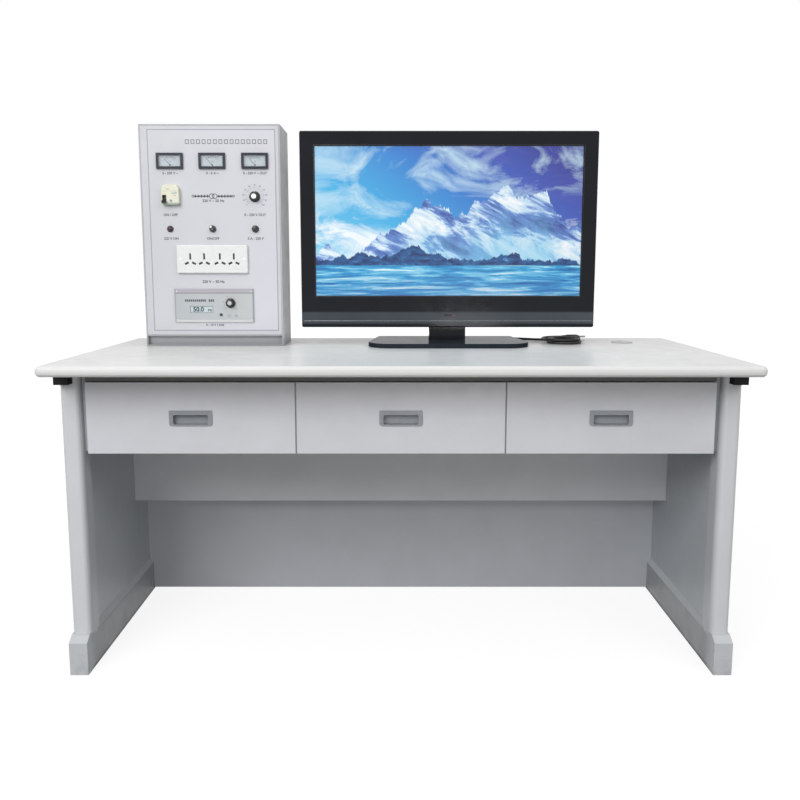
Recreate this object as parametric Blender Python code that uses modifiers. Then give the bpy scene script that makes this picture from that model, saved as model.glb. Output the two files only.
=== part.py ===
"""Television repair trainer: a three-drawer desk that carries a mains control console and a
flat television. Metres, +Z up, front towards -Y, origin on the floor under the desktop's middle."""

import math

import bmesh
import bpy
from mathutils import Matrix, Vector

# Driving dimensions of the desk.
DESK_WIDTH = 1.600
DESK_DEPTH = 0.700
DESK_HEIGHT = 0.765
TOP_THICKNESS = 0.025
POST_SETBACK = 0.120
FRAME_BACK_SETBACK = 0.050

# Driving dimensions of the console on the desk.
CONSOLE_WIDTH = 0.372
CONSOLE_HEIGHT = 0.586
CONSOLE_DEPTH = 0.150
EQUIPMENT_OFFSET = 0.0807
CONSOLE_BACK_SETBACK = 0.103

# Driving dimensions of the television.
SCREEN_WIDTH = 0.7235
SCREEN_HEIGHT = 0.402
BEZEL_SIDE = 0.03825
BEZEL_TOP = 0.0375
BEZEL_BOTTOM = 0.084
TV_DEPTH = 0.090
TV_BACK_SETBACK = 0.140
TV_CLEAR_OF_CONSOLE = 0.048
TV_CLEAR_OF_DESK = 0.0495

# Fits that every piece shares.
SEAT_GAP = 0.0003
SLIDE_CLEARANCE = 0.0015
OVERRUN = 0.002
POINT_WEIGHT = 1
ROUND_STEPS = 28
SMALL_STEPS = 16
CORNER_SEGMENTS = 4
ROUND_PROFILE_SHARE = 0.5
SHARP_ANGLE = math.radians(38)

# Desktop.
TOP_CORNER_RADIUS = 0.012
TOP_EDGE_RADIUS = 0.0105
TOP_CORNER_SEGMENTS = 7

# Grommet in the desktop and its cap.
GROMMET_END_SETBACK = 0.170
GROMMET_BACK_SETBACK = 0.152
GROMMET_FLANGE_RADIUS = 0.030
GROMMET_FLANGE_THICKNESS = 0.0022
GROMMET_SLEEVE_RADIUS = 0.0260
GROMMET_SLEEVE_LENGTH = 0.020
GROMMET_BORE_RADIUS = 0.0242
GROMMET_LIP_RADIUS = 0.0222
GROMMET_LIP_THICKNESS = 0.0020
GROMMET_CAP_THICKNESS = 0.0022
GROMMET_NOTCH_WIDTH = 0.016
GROMMET_NOTCH_DEPTH = 0.012

# End frames: a post, a panel behind it, a plinth below and a bearer rail on top.
POST_INSET = 0.003
POST_WIDTH = 0.047
POST_DEPTH = 0.050
POST_CORNER_RADIUS = 0.013
PANEL_INSET = 0.008
PANEL_THICKNESS = 0.025
PLINTH_INSET = 0.001
PLINTH_SETBACK = 0.005
PLINTH_PROJECTION = 0.020
PLINTH_RIM_HEIGHT = 0.0805
PLINTH_HEIGHT = 0.0945
BEARER_INSET = 0.002
BEARER_WIDTH = 0.0335
BEARER_HEIGHT = 0.0295
BEARER_PROJECTION = 0.026

# Rear boards.
MODESTY_THICKNESS = 0.018
MODESTY_INSET = 0.005
MODESTY_FLOOR_CLEARANCE = 0.004
DUCT_DEPTH = 0.107
DUCT_TOP_DROP = 0.191
DUCT_HEIGHT = 0.240
DUCT_WALL = 0.012

# Drawers and the boards that carry them.
DRAWER_COUNT = 3
DRAWER_END_GAP = 0.0135
DRAWER_TOP_GAP = 0.027
DRAWER_GAP = 0.0025
DRAWER_FRONT_HEIGHT = 0.1703
DRAWER_FRONT_THICKNESS = 0.018
DRAWER_EDGE_RADIUS = 0.0012
CARRIER_THICKNESS = 0.018
SIDE_BOARD_THICKNESS = 0.016
LEDGE_WIDTH = 0.010
LEDGE_THICKNESS = 0.008
LEDGE_BOTTOM_RISE = 0.003
CARRIER_BACK_GAP = 0.015
TRAY_TOP_DROP = 0.042
TRAY_BACK_GAP = 0.025
TRAY_WALL = 0.010
PULL_WIDTH = 0.101
PULL_HEIGHT = 0.037
PULL_FLANGE = 0.0018
PULL_POCKET_WIDTH = 0.082
PULL_POCKET_HEIGHT = 0.023
PULL_POCKET_DEPTH = 0.013
PULL_POCKET_DROP = 0.0034
PULL_WALL = 0.002
PULL_CORNER_RADIUS = 0.004
PULL_UPPER_RADIUS = 0.002
PULL_LOWER_RADIUS = 0.006

# Console shell.
CASE_WALL = 0.004
KICK_HEIGHT = 0.031
KICK_RECESS = 0.012
KICK_WALL = 0.003
SHELF_DEPTH = 0.030
FRONT_PANEL_THICKNESS = 0.003
REAR_COVER_THICKNESS = 0.002
VENT_COUNT = 7
VENT_LENGTH = 0.200
VENT_WIDTH = 0.005
VENT_PITCH = 0.016
VENT_HEIGHT_SHARE = 0.70
INLET_WIDTH = 0.048
INLET_HEIGHT = 0.028
INLET_HEIGHT_SHARE = 0.13

# Places on the console's front, as shares of its width and height.
METER_COLUMN_SHARES = (0.2155, 0.516, 0.820)
COLUMN_SHARES = (0.203, 0.508, 0.814)
METER_ROW_SHARE = 0.8386
BREAKER_ROW_SHARE = 0.689
BREAKER_COLUMN_SHARE = 0.2178
KNOB_ROW_SHARE = 0.6803
SWITCH_ROW_SHARE = 0.536
SOCKET_PLACE_SHARES = (0.501, 0.3997)
GENERATOR_PLACE_SHARES = (0.5035, 0.188)

# Panel meters.
METER_WIDTH = 0.070
METER_HEIGHT = 0.041
METER_PROUD = 0.006
METER_FRAME = 0.006
METER_BODY_MARGIN = 0.004
METER_BODY_DEPTH = 0.028
METER_CAVITY_DEPTH = 0.009
METER_WINDOW_RECESS = 0.001
METER_WINDOW_THICKNESS = 0.0015
NEEDLE_HUB_RADIUS = 0.0024
NEEDLE_LENGTH = 0.0235
NEEDLE_TAIL_WIDTH = 0.0016
NEEDLE_TIP_WIDTH = 0.0007
NEEDLE_THICKNESS = 0.0012
NEEDLE_PIVOT_RISE = 0.004
NEEDLE_REST_ANGLE = math.radians(-42)

# Leakage breaker.
BREAKER_WIDTH = 0.046
BREAKER_HEIGHT = 0.053
BREAKER_PROUD = 0.014
BREAKER_DEPTH = 0.045
BREAKER_EDGE_RADIUS = 0.002
BREAKER_CORNER_RADIUS = 0.003
BREAKER_ARCH_RADIUS = 0.014
BREAKER_MARGIN = 0.006
LEVER_OFFSET_X = -0.0150
LEVER_OFFSET_Z = -0.0120
LEVER_WIDTH = 0.0102
LEVER_THICKNESS = 0.0050
LEVER_REACH = 0.0175
LEVER_HUB_RADIUS = 0.0042
LEVER_HUB_DEPTH = 0.0062
LEVER_SLOT_HEIGHT = 0.0210
LEVER_SLOT_CLEARANCE = 0.0004
LEVER_REST_ANGLE = math.radians(-30)
TEST_BUTTON_OFFSET_X = 0.0020
TEST_BUTTON_OFFSET_Z = -0.0160
TEST_BUTTON_RADIUS = 0.0027
TEST_BUTTON_PROUD = 0.0020
TEST_BUTTON_LENGTH = 0.0080
TEST_BUTTON_TRAVEL = 0.0015

# Regulator knob, power lamp, toggle switch and fuse carrier.
KNOB_RADIUS = 0.0145
KNOB_SKIRT_HEIGHT = 0.0035
KNOB_GRIP_RADIUS = 0.0115
KNOB_TOP_RADIUS = 0.0098
KNOB_HEIGHT = 0.0165
KNOB_CAP_RADIUS = 0.0075
KNOB_CAP_RISE = 0.0008
SHAFT_RADIUS = 0.0032
SHAFT_LENGTH = 0.014
LAMP_BEZEL_RADIUS = 0.0085
LAMP_BEZEL_HEIGHT = 0.0022
LAMP_LENS_RADIUS = 0.0068
LAMP_LENS_HEIGHT = 0.0075
LAMP_STEM_RADIUS = 0.0055
LAMP_STEM_LENGTH = 0.020
TOGGLE_NUT_RADIUS = 0.0092
TOGGLE_NUT_HEIGHT = 0.0025
TOGGLE_BUSH_RADIUS = 0.0062
TOGGLE_BUSH_HEIGHT = 0.0085
TOGGLE_BORE_RADIUS = 0.0044
TOGGLE_BODY_SIDE = 0.016
TOGGLE_BODY_DEPTH = 0.020
TOGGLE_BALL_RADIUS = 0.0040
TOGGLE_NECK_RADIUS = 0.0015
TOGGLE_TIP_RADIUS = 0.0026
TOGGLE_LEVER_LENGTH = 0.0215
TOGGLE_PIVOT_DEPTH = 0.0040
TOGGLE_TILT = math.radians(12)
FUSE_CAP_RADIUS = 0.0095
FUSE_CAP_HEIGHT = 0.0085
FUSE_RING_RADIUS = 0.0078
FUSE_STEM_RADIUS = 0.0060
FUSE_STEM_LENGTH = 0.024
FUSE_SLOT_WIDTH = 0.0018
FUSE_SLOT_DEPTH = 0.0016
BODY_GAP = 0.0004

# Socket plate with two pairs of outlets.
SOCKET_WIDTH = 0.190
SOCKET_HEIGHT = 0.075
SOCKET_PROUD = 0.009
SOCKET_MARGIN = 0.008
SOCKET_BODY_DEPTH = 0.024
SOCKET_EDGE_RADIUS = 0.003
OUTLET_NEAR_X = 0.0210
OUTLET_FAR_X = 0.0582
OUTLET_EARTH_RISE = 0.0072
OUTLET_LIVE_DROP = 0.0108
OUTLET_LIVE_SPREAD = 0.0095
OUTLET_EARTH_WIDTH = 0.0050
OUTLET_EARTH_LENGTH = 0.0165
OUTLET_LIVE_WIDTH = 0.0056
OUTLET_LIVE_LENGTH = 0.0112
OUTLET_SLOT_DEPTH = 0.012
OUTLET_SLOT_ANGLE = math.radians(65)

# Signal generator.
GENERATOR_WIDTH = 0.212
GENERATOR_HEIGHT = 0.090
GENERATOR_PROUD = 0.004
GENERATOR_MARGIN = 0.009
GENERATOR_BODY_DEPTH = 0.042
DISPLAY_WIDTH = 0.060
DISPLAY_HEIGHT = 0.016
DISPLAY_RECESS = 0.0012
DISPLAY_X = -0.0345
DISPLAY_Z = -0.0104
GENERATOR_KNOB_X = 0.0446
GENERATOR_KNOB_Z = 0.0067
GENERATOR_KNOB_SCALE_SHARE = 0.90

# Isolation transformer on the case's floor.
CORE_WIDTH = 0.096
CORE_DEPTH = 0.040
CORE_HEIGHT = 0.080
WINDING_WIDTH = 0.056
WINDING_DEPTH = 0.070
WINDING_HEIGHT = 0.046
CORE_BACK_CLEARANCE = 0.030

# Television.
BEZEL_DEPTH = 0.030
BEZEL_CORNER_RADIUS = 0.005
BEZEL_EDGE_RADIUS = 0.003
SCREEN_RECESS = 0.004
SCREEN_THICKNESS = 0.012
SCREEN_LAP = 0.005
REAR_INSET = 0.004
REAR_SKIRT_DEPTH = 0.028
REAR_WALL = 0.003
REAR_TAPER_WIDTH = 0.197
REAR_TAPER_HEIGHT = 0.116
REAR_FACE_DROP = 0.020
REAR_VENT_COUNT = 9
REAR_VENT_LENGTH = 0.300
REAR_VENT_WIDTH = 0.004
REAR_VENT_PITCH = 0.012
REAR_VENT_RISE = 0.090
NECK_WIDTH = 0.102
NECK_DEPTH = 0.030
NECK_SETBACK = 0.0020
STAND_REACH = 0.090
STAND_DEPTH = 0.245
STAND_WIDTH = 0.434
STAND_BACK_WIDTH = 0.388
STAND_CORNER_WIDTH = 0.062
STAND_CORNER_DEPTH = 0.066
STAND_BACK_RADIUS = 0.010
STAND_THICKNESS = 0.012
STAND_EDGE_RADIUS = 0.003

# Television's mains lead, the coil that stores it and its plug.
LEAD_DIAMETER = 0.007
LEAD_EXIT_OFFSET = 0.025
LEAD_EXIT_RISE = 0.0560
RELIEF_FLANGE_RADIUS = 0.0095
RELIEF_FLANGE_THICKNESS = 0.004
RELIEF_ROOT_RADIUS = 0.0068
RELIEF_TIP_RADIUS = 0.0046
RELIEF_LENGTH = 0.030
COIL_STAND_GAP = 0.083
COIL_BACK_SETBACK = 0.172
COIL_OUTER_RADIUS = 0.0495
COIL_TURNS = 5
COIL_POINTS_PER_TURN = 24
COIL_PITCH = 0.0076
COIL_LAYER_RISE = 0.0076
COIL_CLIMB_TURNS = 0.5
COIL_EXIT_TURNS = 0.5
COIL_EXIT_SPREAD = 0.0165
TIE_THICKNESS = 0.0008
TIE_WIDTH = 0.009
TIE_ANGLE = math.radians(20)
TIE_CORNER_SEGMENTS = 3
PLUG_RELIEF_LENGTH = 0.014
PLUG_RELIEF_RADIUS = 0.0058
PLUG_LENGTH = 0.036
PLUG_WIDTH = 0.034
PLUG_THICKNESS = 0.018
PLUG_EDGE_RADIUS = 0.003
PIN_ROOT_DEPTH = 0.0045
PIN_LENGTH = 0.018
PIN_WIDTH = 0.0063
PIN_THICKNESS = 0.0018
PIN_SPREAD = 0.0079
PIN_EARTH_OFFSET = 0.0095
PIN_ANGLE = math.radians(30)
LEAD_EXIT_STRAIGHT = 0.015
LEAD_ENTRY_STRAIGHT = 0.016
LEAD_BEND_RADIUS = 0.030
LEAD_TURN_PAST_STAND = 0.002
LEAD_STEP = 0.0145
LEAD_FINE_STEPS = 12

# Places that several pieces share.
TOP_BOTTOM = DESK_HEIGHT - TOP_THICKNESS
POST_OUTER = DESK_WIDTH / 2 - POST_INSET
POST_INNER = POST_OUTER - POST_WIDTH
POST_FRONT_Y = -DESK_DEPTH / 2 + POST_SETBACK
POST_BACK_Y = POST_FRONT_Y + POST_DEPTH
FRAME_BACK_Y = DESK_DEPTH / 2 - FRAME_BACK_SETBACK
PANEL_OUTER = DESK_WIDTH / 2 - PANEL_INSET
PANEL_INNER = PANEL_OUTER - PANEL_THICKNESS
PLINTH_OUTER = DESK_WIDTH / 2 - PLINTH_INSET
PLINTH_INNER = POST_INNER + PLINTH_SETBACK
BEARER_OUTER = DESK_WIDTH / 2 - BEARER_INSET
BEARER_INNER = BEARER_OUTER - BEARER_WIDTH
BEARER_BOTTOM = TOP_BOTTOM - SEAT_GAP - BEARER_HEIGHT
MODESTY_FRONT_Y = FRAME_BACK_Y - MODESTY_INSET - MODESTY_THICKNESS
DUCT_FRONT_Y = MODESTY_FRONT_Y - DUCT_DEPTH
DUCT_BOTTOM = TOP_BOTTOM - DUCT_TOP_DROP - DUCT_HEIGHT
GROMMET_X = DESK_WIDTH / 2 - GROMMET_END_SETBACK
GROMMET_Y = DESK_DEPTH / 2 - GROMMET_BACK_SETBACK
DRAWER_SPAN = 2 * (POST_INNER - DRAWER_END_GAP)
DRAWER_WIDTH = (DRAWER_SPAN - (DRAWER_COUNT - 1) * DRAWER_GAP) / DRAWER_COUNT
DRAWER_PITCH = DRAWER_WIDTH + DRAWER_GAP
DRAWER_FRONT_BOTTOM = TOP_BOTTOM - DRAWER_TOP_GAP - DRAWER_FRONT_HEIGHT
CARRIER_FRONT_Y = POST_FRONT_Y + DRAWER_FRONT_THICKNESS + SEAT_GAP
CARRIER_BACK_Y = DUCT_FRONT_Y - CARRIER_BACK_GAP
TRAY_BACK_Y = CARRIER_BACK_Y - TRAY_BACK_GAP
TRAY_HEIGHT = DRAWER_FRONT_HEIGHT - TRAY_TOP_DROP
LEDGE_BOTTOM = DRAWER_FRONT_BOTTOM + LEDGE_BOTTOM_RISE
LEDGE_TOP = LEDGE_BOTTOM + LEDGE_THICKNESS
SIDE_BOARD_OUTER = POST_INNER - SEAT_GAP
SIDE_BOARD_INNER = SIDE_BOARD_OUTER - SIDE_BOARD_THICKNESS
TV_WIDTH = SCREEN_WIDTH + 2 * BEZEL_SIDE
TV_HEIGHT = SCREEN_HEIGHT + BEZEL_TOP + BEZEL_BOTTOM
CONSOLE_LEFT = -(CONSOLE_WIDTH + TV_CLEAR_OF_CONSOLE + TV_WIDTH) / 2 - EQUIPMENT_OFFSET
CONSOLE_RIGHT = CONSOLE_LEFT + CONSOLE_WIDTH
CONSOLE_X = (CONSOLE_LEFT + CONSOLE_RIGHT) / 2
CONSOLE_BOTTOM = DESK_HEIGHT + SEAT_GAP
CONSOLE_TOP = DESK_HEIGHT + CONSOLE_HEIGHT
CONSOLE_BACK_Y = DESK_DEPTH / 2 - CONSOLE_BACK_SETBACK
CONSOLE_FRONT_Y = CONSOLE_BACK_Y - CONSOLE_DEPTH
FRONT_PANEL_BACK_Y = CONSOLE_FRONT_Y + FRONT_PANEL_THICKNESS
TV_X = CONSOLE_RIGHT + TV_CLEAR_OF_CONSOLE + TV_WIDTH / 2
TV_BOTTOM = DESK_HEIGHT + TV_CLEAR_OF_DESK
TV_TOP = TV_BOTTOM + TV_HEIGHT
TV_BACK_Y = DESK_DEPTH / 2 - TV_BACK_SETBACK
TV_FRONT_Y = TV_BACK_Y - TV_DEPTH
REAR_FRONT_Y = TV_FRONT_Y + BEZEL_DEPTH + SEAT_GAP
SCREEN_BOTTOM = TV_BOTTOM + BEZEL_BOTTOM
STAND_FRONT_Y = TV_FRONT_Y - STAND_REACH
STAND_BACK_END = TV_X + STAND_BACK_WIDTH / 2
STAND_TOP = DESK_HEIGHT + SEAT_GAP + STAND_THICKNESS
LEAD_RADIUS = LEAD_DIAMETER / 2
LEAD_EXIT_X = TV_X + LEAD_EXIT_OFFSET
COIL_X = STAND_BACK_END + COIL_STAND_GAP + LEAD_RADIUS + COIL_OUTER_RADIUS
COIL_Y = DESK_DEPTH / 2 - COIL_BACK_SETBACK
COIL_LOW_Z = DESK_HEIGHT + SEAT_GAP + TIE_THICKNESS + SEAT_GAP + LEAD_RADIUS

# Colours (linear), roughness and metallic value of each finish.
FINISHES = {
    "pale_laminate": ((0.700, 0.715, 0.700), 0.38, 0.0),
    "grey_enamel": ((0.540, 0.560, 0.580), 0.42, 0.0),
    "drawer_enamel": ((0.520, 0.525, 0.560), 0.40, 0.0),
    "black_plastic": ((0.012, 0.012, 0.013), 0.45, 0.0),
    "grommet_plastic": ((0.560, 0.560, 0.550), 0.45, 0.0),
    "pull_plastic": ((0.300, 0.312, 0.330), 0.38, 0.0),
    "board_grey": ((0.450, 0.470, 0.480), 0.60, 0.0),
    "console_steel": ((0.330, 0.345, 0.355), 0.45, 0.2),
    "panel_enamel": ((0.690, 0.700, 0.780), 0.40, 0.0),
    "meter_plastic": ((0.040, 0.045, 0.075), 0.35, 0.0),
    "meter_glass": ((0.560, 0.680, 0.740), 0.08, 0.0),
    "needle_black": ((0.010, 0.010, 0.010), 0.40, 0.0),
    "cream_plastic": ((0.760, 0.740, 0.580), 0.42, 0.0),
    "knob_plastic": ((0.015, 0.015, 0.016), 0.35, 0.0),
    "lamp_red": ((0.210, 0.012, 0.016), 0.15, 0.0),
    "bright_metal": ((0.700, 0.700, 0.700), 0.22, 1.0),
    "socket_white": ((0.880, 0.880, 0.870), 0.35, 0.0),
    "generator_silver": ((0.520, 0.560, 0.580), 0.40, 0.3),
    "transformer_core": ((0.090, 0.090, 0.095), 0.55, 0.6),
    "tv_gloss_black": ((0.008, 0.008, 0.009), 0.10, 0.0),
    "tv_screen": ((0.080, 0.350, 0.640), 0.20, 0.0),
    "tv_matt_black": ((0.015, 0.015, 0.016), 0.55, 0.0),
    "stand_gloss": ((0.045, 0.050, 0.058), 0.12, 0.0),
    "lead_rubber": ((0.012, 0.012, 0.012), 0.50, 0.0),
}


def add_collection(name):
    """A new collection in the scene."""
    made = bpy.data.collections.new(name)
    bpy.context.scene.collection.children.link(made)
    return made


def material(finish):
    """The finish's material, made the first time that it is asked for."""
    found = bpy.data.materials.get(finish)
    if found:
        return found
    colour, roughness, metallic = FINISHES[finish]
    made = bpy.data.materials.new(finish)
    made.use_nodes = True
    shader = made.node_tree.nodes["Principled BSDF"]
    shader.inputs["Base Color"].default_value = (*colour, 1.0)
    shader.inputs["Roughness"].default_value = roughness
    shader.inputs["Metallic"].default_value = metallic
    made.diffuse_color = (*colour, 1.0)
    return made


def add_object(name, data, finish):
    """A part with its finish or, with no finish, a hidden cutter."""
    obj = bpy.data.objects.new(name, data)
    if finish:
        data.materials.append(material(finish))
        parts.objects.link(obj)
    else:
        cutters.objects.link(obj)
        obj.hide_render = True
        obj.display_type = "WIRE"
    return obj


def add_shape(name, shape, finish, origin):
    """A part or cutter from a bmesh that was built in world coordinates."""
    bmesh.ops.translate(shape, vec=-Vector(origin), verts=shape.verts)
    mesh = bpy.data.meshes.new(name)
    shape.to_mesh(mesh)
    shape.free()
    obj = add_object(name, mesh, finish)
    obj.location = origin
    return obj


def box_into(shape, low, high):
    """Adds a box between two corners to a bmesh and returns its vertices."""
    low, high = Vector(low), Vector(high)
    made = bmesh.ops.create_cube(shape, size=1)["verts"]
    bmesh.ops.scale(shape, vec=high - low, verts=made)
    bmesh.ops.translate(shape, vec=(low + high) / 2, verts=made)
    return made


def round_edges(shape, axis, radius, segments=CORNER_SEGMENTS, front_only=False):
    """Rounds the edges that run along an axis, or only those on the front."""
    middle = sum((vert.co for vert in shape.verts), Vector()) / len(shape.verts)
    chosen = []
    for edge in shape.edges:
        first, second = (vert.co for vert in edge.verts)
        along = abs((second - first)[axis]) > (second - first).length / 2
        if along and not (front_only and first.y > middle.y):
            chosen.append(edge)
    bmesh.ops.bevel(
        shape,
        geom=chosen,
        offset=radius,
        segments=segments,
        profile=ROUND_PROFILE_SHARE,
        affect="EDGES",
    )


def block(name, low, high, finish=None, origin=None, corner=0, axis=1, front_only=False):
    """A box between two corners, with the edges along one axis rounded if a radius is given."""
    shape = bmesh.new()
    box_into(shape, low, high)
    if corner:
        round_edges(shape, axis, corner, front_only=front_only)
    centre = (Vector(low) + Vector(high)) / 2
    return add_shape(name, shape, finish, centre if origin is None else origin)


def blocks(name, boxes, turns=None):
    """One cutter of several separate boxes, each turned about its own Y axis if told so."""
    shape = bmesh.new()
    for index, (low, high) in enumerate(boxes):
        made = box_into(shape, low, high)
        if turns:
            centre = (Vector(low) + Vector(high)) / 2
            bmesh.ops.rotate(shape, cent=centre, matrix=Matrix.Rotation(turns[index], 3, "Y"), verts=made)
    return add_shape(name, shape, None, (0, 0, 0))


def rod(name, start, end, radius, finish=None, steps=ROUND_STEPS):
    """A straight round rod between two points on its axis."""
    start, end = Vector(start), Vector(end)
    shape = bmesh.new()
    bmesh.ops.create_cone(
        shape, cap_ends=True, segments=steps, radius1=radius, radius2=radius, depth=(end - start).length
    )
    turn = Vector((0, 0, 1)).rotation_difference(end - start).to_matrix()
    bmesh.ops.rotate(shape, cent=(0, 0, 0), matrix=turn, verts=shape.verts)
    bmesh.ops.translate(shape, vec=(start + end) / 2, verts=shape.verts)
    obj = add_shape(name, shape, finish, (start + end) / 2)
    return smooth(obj)


def smooth(obj):
    """Smooth shading with sharp corners kept."""
    obj.data.shade_smooth()
    obj.data.set_sharp_from_angle(angle=SHARP_ANGLE)
    return obj


def turned(name, profile, place, finish, facing="FRONT", closed=False, steps=ROUND_STEPS):
    """A turned piece: (radius, height) points run down its outer side, top to bottom."""
    mesh = bpy.data.meshes.new(name)
    edges = [(index, index + 1) for index in range(len(profile) - 1)]
    if closed:
        edges.append((len(profile) - 1, 0))
    mesh.from_pydata([(radius, 0, height) for radius, height in profile], edges, [])
    obj = add_object(name, mesh, finish)
    obj.location = place
    obj.rotation_euler.x = {"UP": 0, "FRONT": math.pi / 2, "BACK": -math.pi / 2}[facing]
    screw = obj.modifiers.new("turn", "SCREW")
    screw.steps = steps
    screw.render_steps = steps
    screw.use_merge_vertices = True
    screw.merge_threshold = SEAT_GAP / ROUND_STEPS
    screw.use_smooth_shade = True
    return obj


def prism(name, outline, low, high, plane, finish=None):
    """A flat outline in one plane, drawn out from low to high along the third axis."""
    curve = bpy.data.curves.new(name, "CURVE")
    curve.dimensions = "2D"
    curve.fill_mode = "BOTH"
    curve.extrude = (high - low) / 2
    add_outline(curve, outline)
    return flat_curve_object(name, curve, (low + high) / 2, plane, finish)


def add_outline(curve, outline):
    """Adds one closed outline to a flat curve."""
    spline = curve.splines.new("POLY")
    spline.points.add(len(outline) - 1)
    for point, (across, up) in zip(spline.points, outline):
        point.co = (across, up, 0, POINT_WEIGHT)
    spline.use_cyclic_u = True


def flat_curve_object(name, curve, middle, plane, finish):
    """The flat curve as a closed mesh, laid in its plane."""
    bases = {
        "XY": Matrix(((1, 0, 0), (0, 1, 0), (0, 0, 1))),
        "XZ": Matrix(((1, 0, 0), (0, 0, -1), (0, 1, 0))),
        "YZ": Matrix(((0, 0, 1), (1, 0, 0), (0, 1, 0))),
    }
    offsets = {"XY": (0, 0, middle), "XZ": (0, middle, 0), "YZ": (middle, 0, 0)}
    guide = bpy.data.objects.new(name + "_outline", curve)
    bpy.context.scene.collection.objects.link(guide)
    graph = bpy.context.evaluated_depsgraph_get()
    flat = bpy.data.meshes.new_from_object(guide.evaluated_get(graph))
    bpy.data.objects.remove(guide, do_unlink=True)
    shape = bmesh.new()
    shape.from_mesh(flat)
    bpy.data.meshes.remove(flat)
    bmesh.ops.remove_doubles(shape, verts=shape.verts, dist=SEAT_GAP / ROUND_STEPS)
    shape.transform(Matrix.Translation(offsets[plane]) @ bases[plane].to_4x4())
    bmesh.ops.recalc_face_normals(shape, faces=shape.faces)
    return add_shape(name, shape, finish, (0, 0, 0))


def tube(name, points, finish, resolution):
    """A round cord through the points, with flat ends."""
    curve = bpy.data.curves.new(name, "CURVE")
    curve.dimensions = "3D"
    curve.bevel_depth = LEAD_RADIUS
    curve.bevel_resolution = resolution
    curve.use_fill_caps = True
    spline = curve.splines.new("POLY")
    spline.points.add(len(points) - 1)
    for point, place in zip(spline.points, points):
        point.co = (*place, POINT_WEIGHT)
    return add_object(name, curve, finish)


def boolean(obj, other, operation):
    """Joins another shape to the part or cuts it away."""
    modifier = obj.modifiers.new(other.name, "BOOLEAN")
    modifier.operation = operation
    modifier.object = other
    return obj


def cut(obj, *others):
    for other in others:
        boolean(obj, other, "DIFFERENCE")
    return obj


def join(obj, *others):
    for other in others:
        boolean(obj, other, "UNION")
    return obj


def soften(obj, radius, segments=2):
    """Rounds every sharp edge of the part by a small radius."""
    modifier = obj.modifiers.new("edges", "BEVEL")
    modifier.width = radius
    modifier.segments = segments
    modifier.limit_method = "ANGLE"
    modifier.angle_limit = SHARP_ANGLE
    return obj


def carry(name, place, *objects):
    """Hangs the pieces of one moving body on an empty at the joint."""
    holder = bpy.data.objects.new(name, None)
    holder.location = place
    parts.objects.link(holder)
    for obj in objects:
        obj.parent = holder
        obj.location = obj.location - Vector(place)


def make_desktop():
    half_width, half_depth = DESK_WIDTH / 2, DESK_DEPTH / 2
    shape = bmesh.new()
    box_into(shape, (-half_width, -half_depth, TOP_BOTTOM), (half_width, half_depth, DESK_HEIGHT))
    round_edges(shape, 2, TOP_CORNER_RADIUS, TOP_CORNER_SEGMENTS)
    top = smooth(add_shape("desktop", shape, "pale_laminate", (0, 0, DESK_HEIGHT)))
    soften(top, TOP_EDGE_RADIUS, CORNER_SEGMENTS)
    cut(
        top,
        rod(
            "grommet_hole",
            (GROMMET_X, GROMMET_Y, TOP_BOTTOM - OVERRUN),
            (GROMMET_X, GROMMET_Y, DESK_HEIGHT + OVERRUN),
            GROMMET_SLEEVE_RADIUS + SEAT_GAP,
        ),
    )


def make_grommet():
    bottom = SEAT_GAP
    top = bottom + GROMMET_FLANGE_THICKNESS
    seat = top - GROMMET_CAP_THICKNESS - SEAT_GAP
    profile = (
        (GROMMET_BORE_RADIUS, top),
        (GROMMET_FLANGE_RADIUS - GROMMET_FLANGE_THICKNESS / 2, top),
        (GROMMET_FLANGE_RADIUS, bottom + GROMMET_FLANGE_THICKNESS / 3),
        (GROMMET_FLANGE_RADIUS, bottom),
        (GROMMET_SLEEVE_RADIUS, bottom),
        (GROMMET_SLEEVE_RADIUS, -GROMMET_SLEEVE_LENGTH),
        (GROMMET_BORE_RADIUS, -GROMMET_SLEEVE_LENGTH),
        (GROMMET_BORE_RADIUS, seat - GROMMET_LIP_THICKNESS),
        (GROMMET_LIP_RADIUS, seat - GROMMET_LIP_THICKNESS),
        (GROMMET_LIP_RADIUS, seat),
        (GROMMET_BORE_RADIUS, seat),
    )
    place = (GROMMET_X, GROMMET_Y, DESK_HEIGHT)
    turned("cable_grommet", profile, place, "grommet_plastic", "UP", closed=True)
    cap_radius = GROMMET_BORE_RADIUS - SEAT_GAP
    low = DESK_HEIGHT + seat + SEAT_GAP
    cap = rod(
        "grommet_cap",
        (GROMMET_X, GROMMET_Y, low),
        (GROMMET_X, GROMMET_Y, low + GROMMET_CAP_THICKNESS),
        cap_radius,
        "grommet_plastic",
    )
    notch = block(
        "cap_notch",
        (GROMMET_X - GROMMET_NOTCH_WIDTH / 2, GROMMET_Y + cap_radius - GROMMET_NOTCH_DEPTH, low - OVERRUN),
        (
            GROMMET_X + GROMMET_NOTCH_WIDTH / 2,
            GROMMET_Y + cap_radius + OVERRUN,
            low + GROMMET_CAP_THICKNESS + OVERRUN,
        ),
    )
    cut(cap, notch)


def across(side, inner, outer):
    """Low and high X of a span that is given from the middle outwards."""
    return (inner, outer) if side > 0 else (-outer, -inner)


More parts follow.
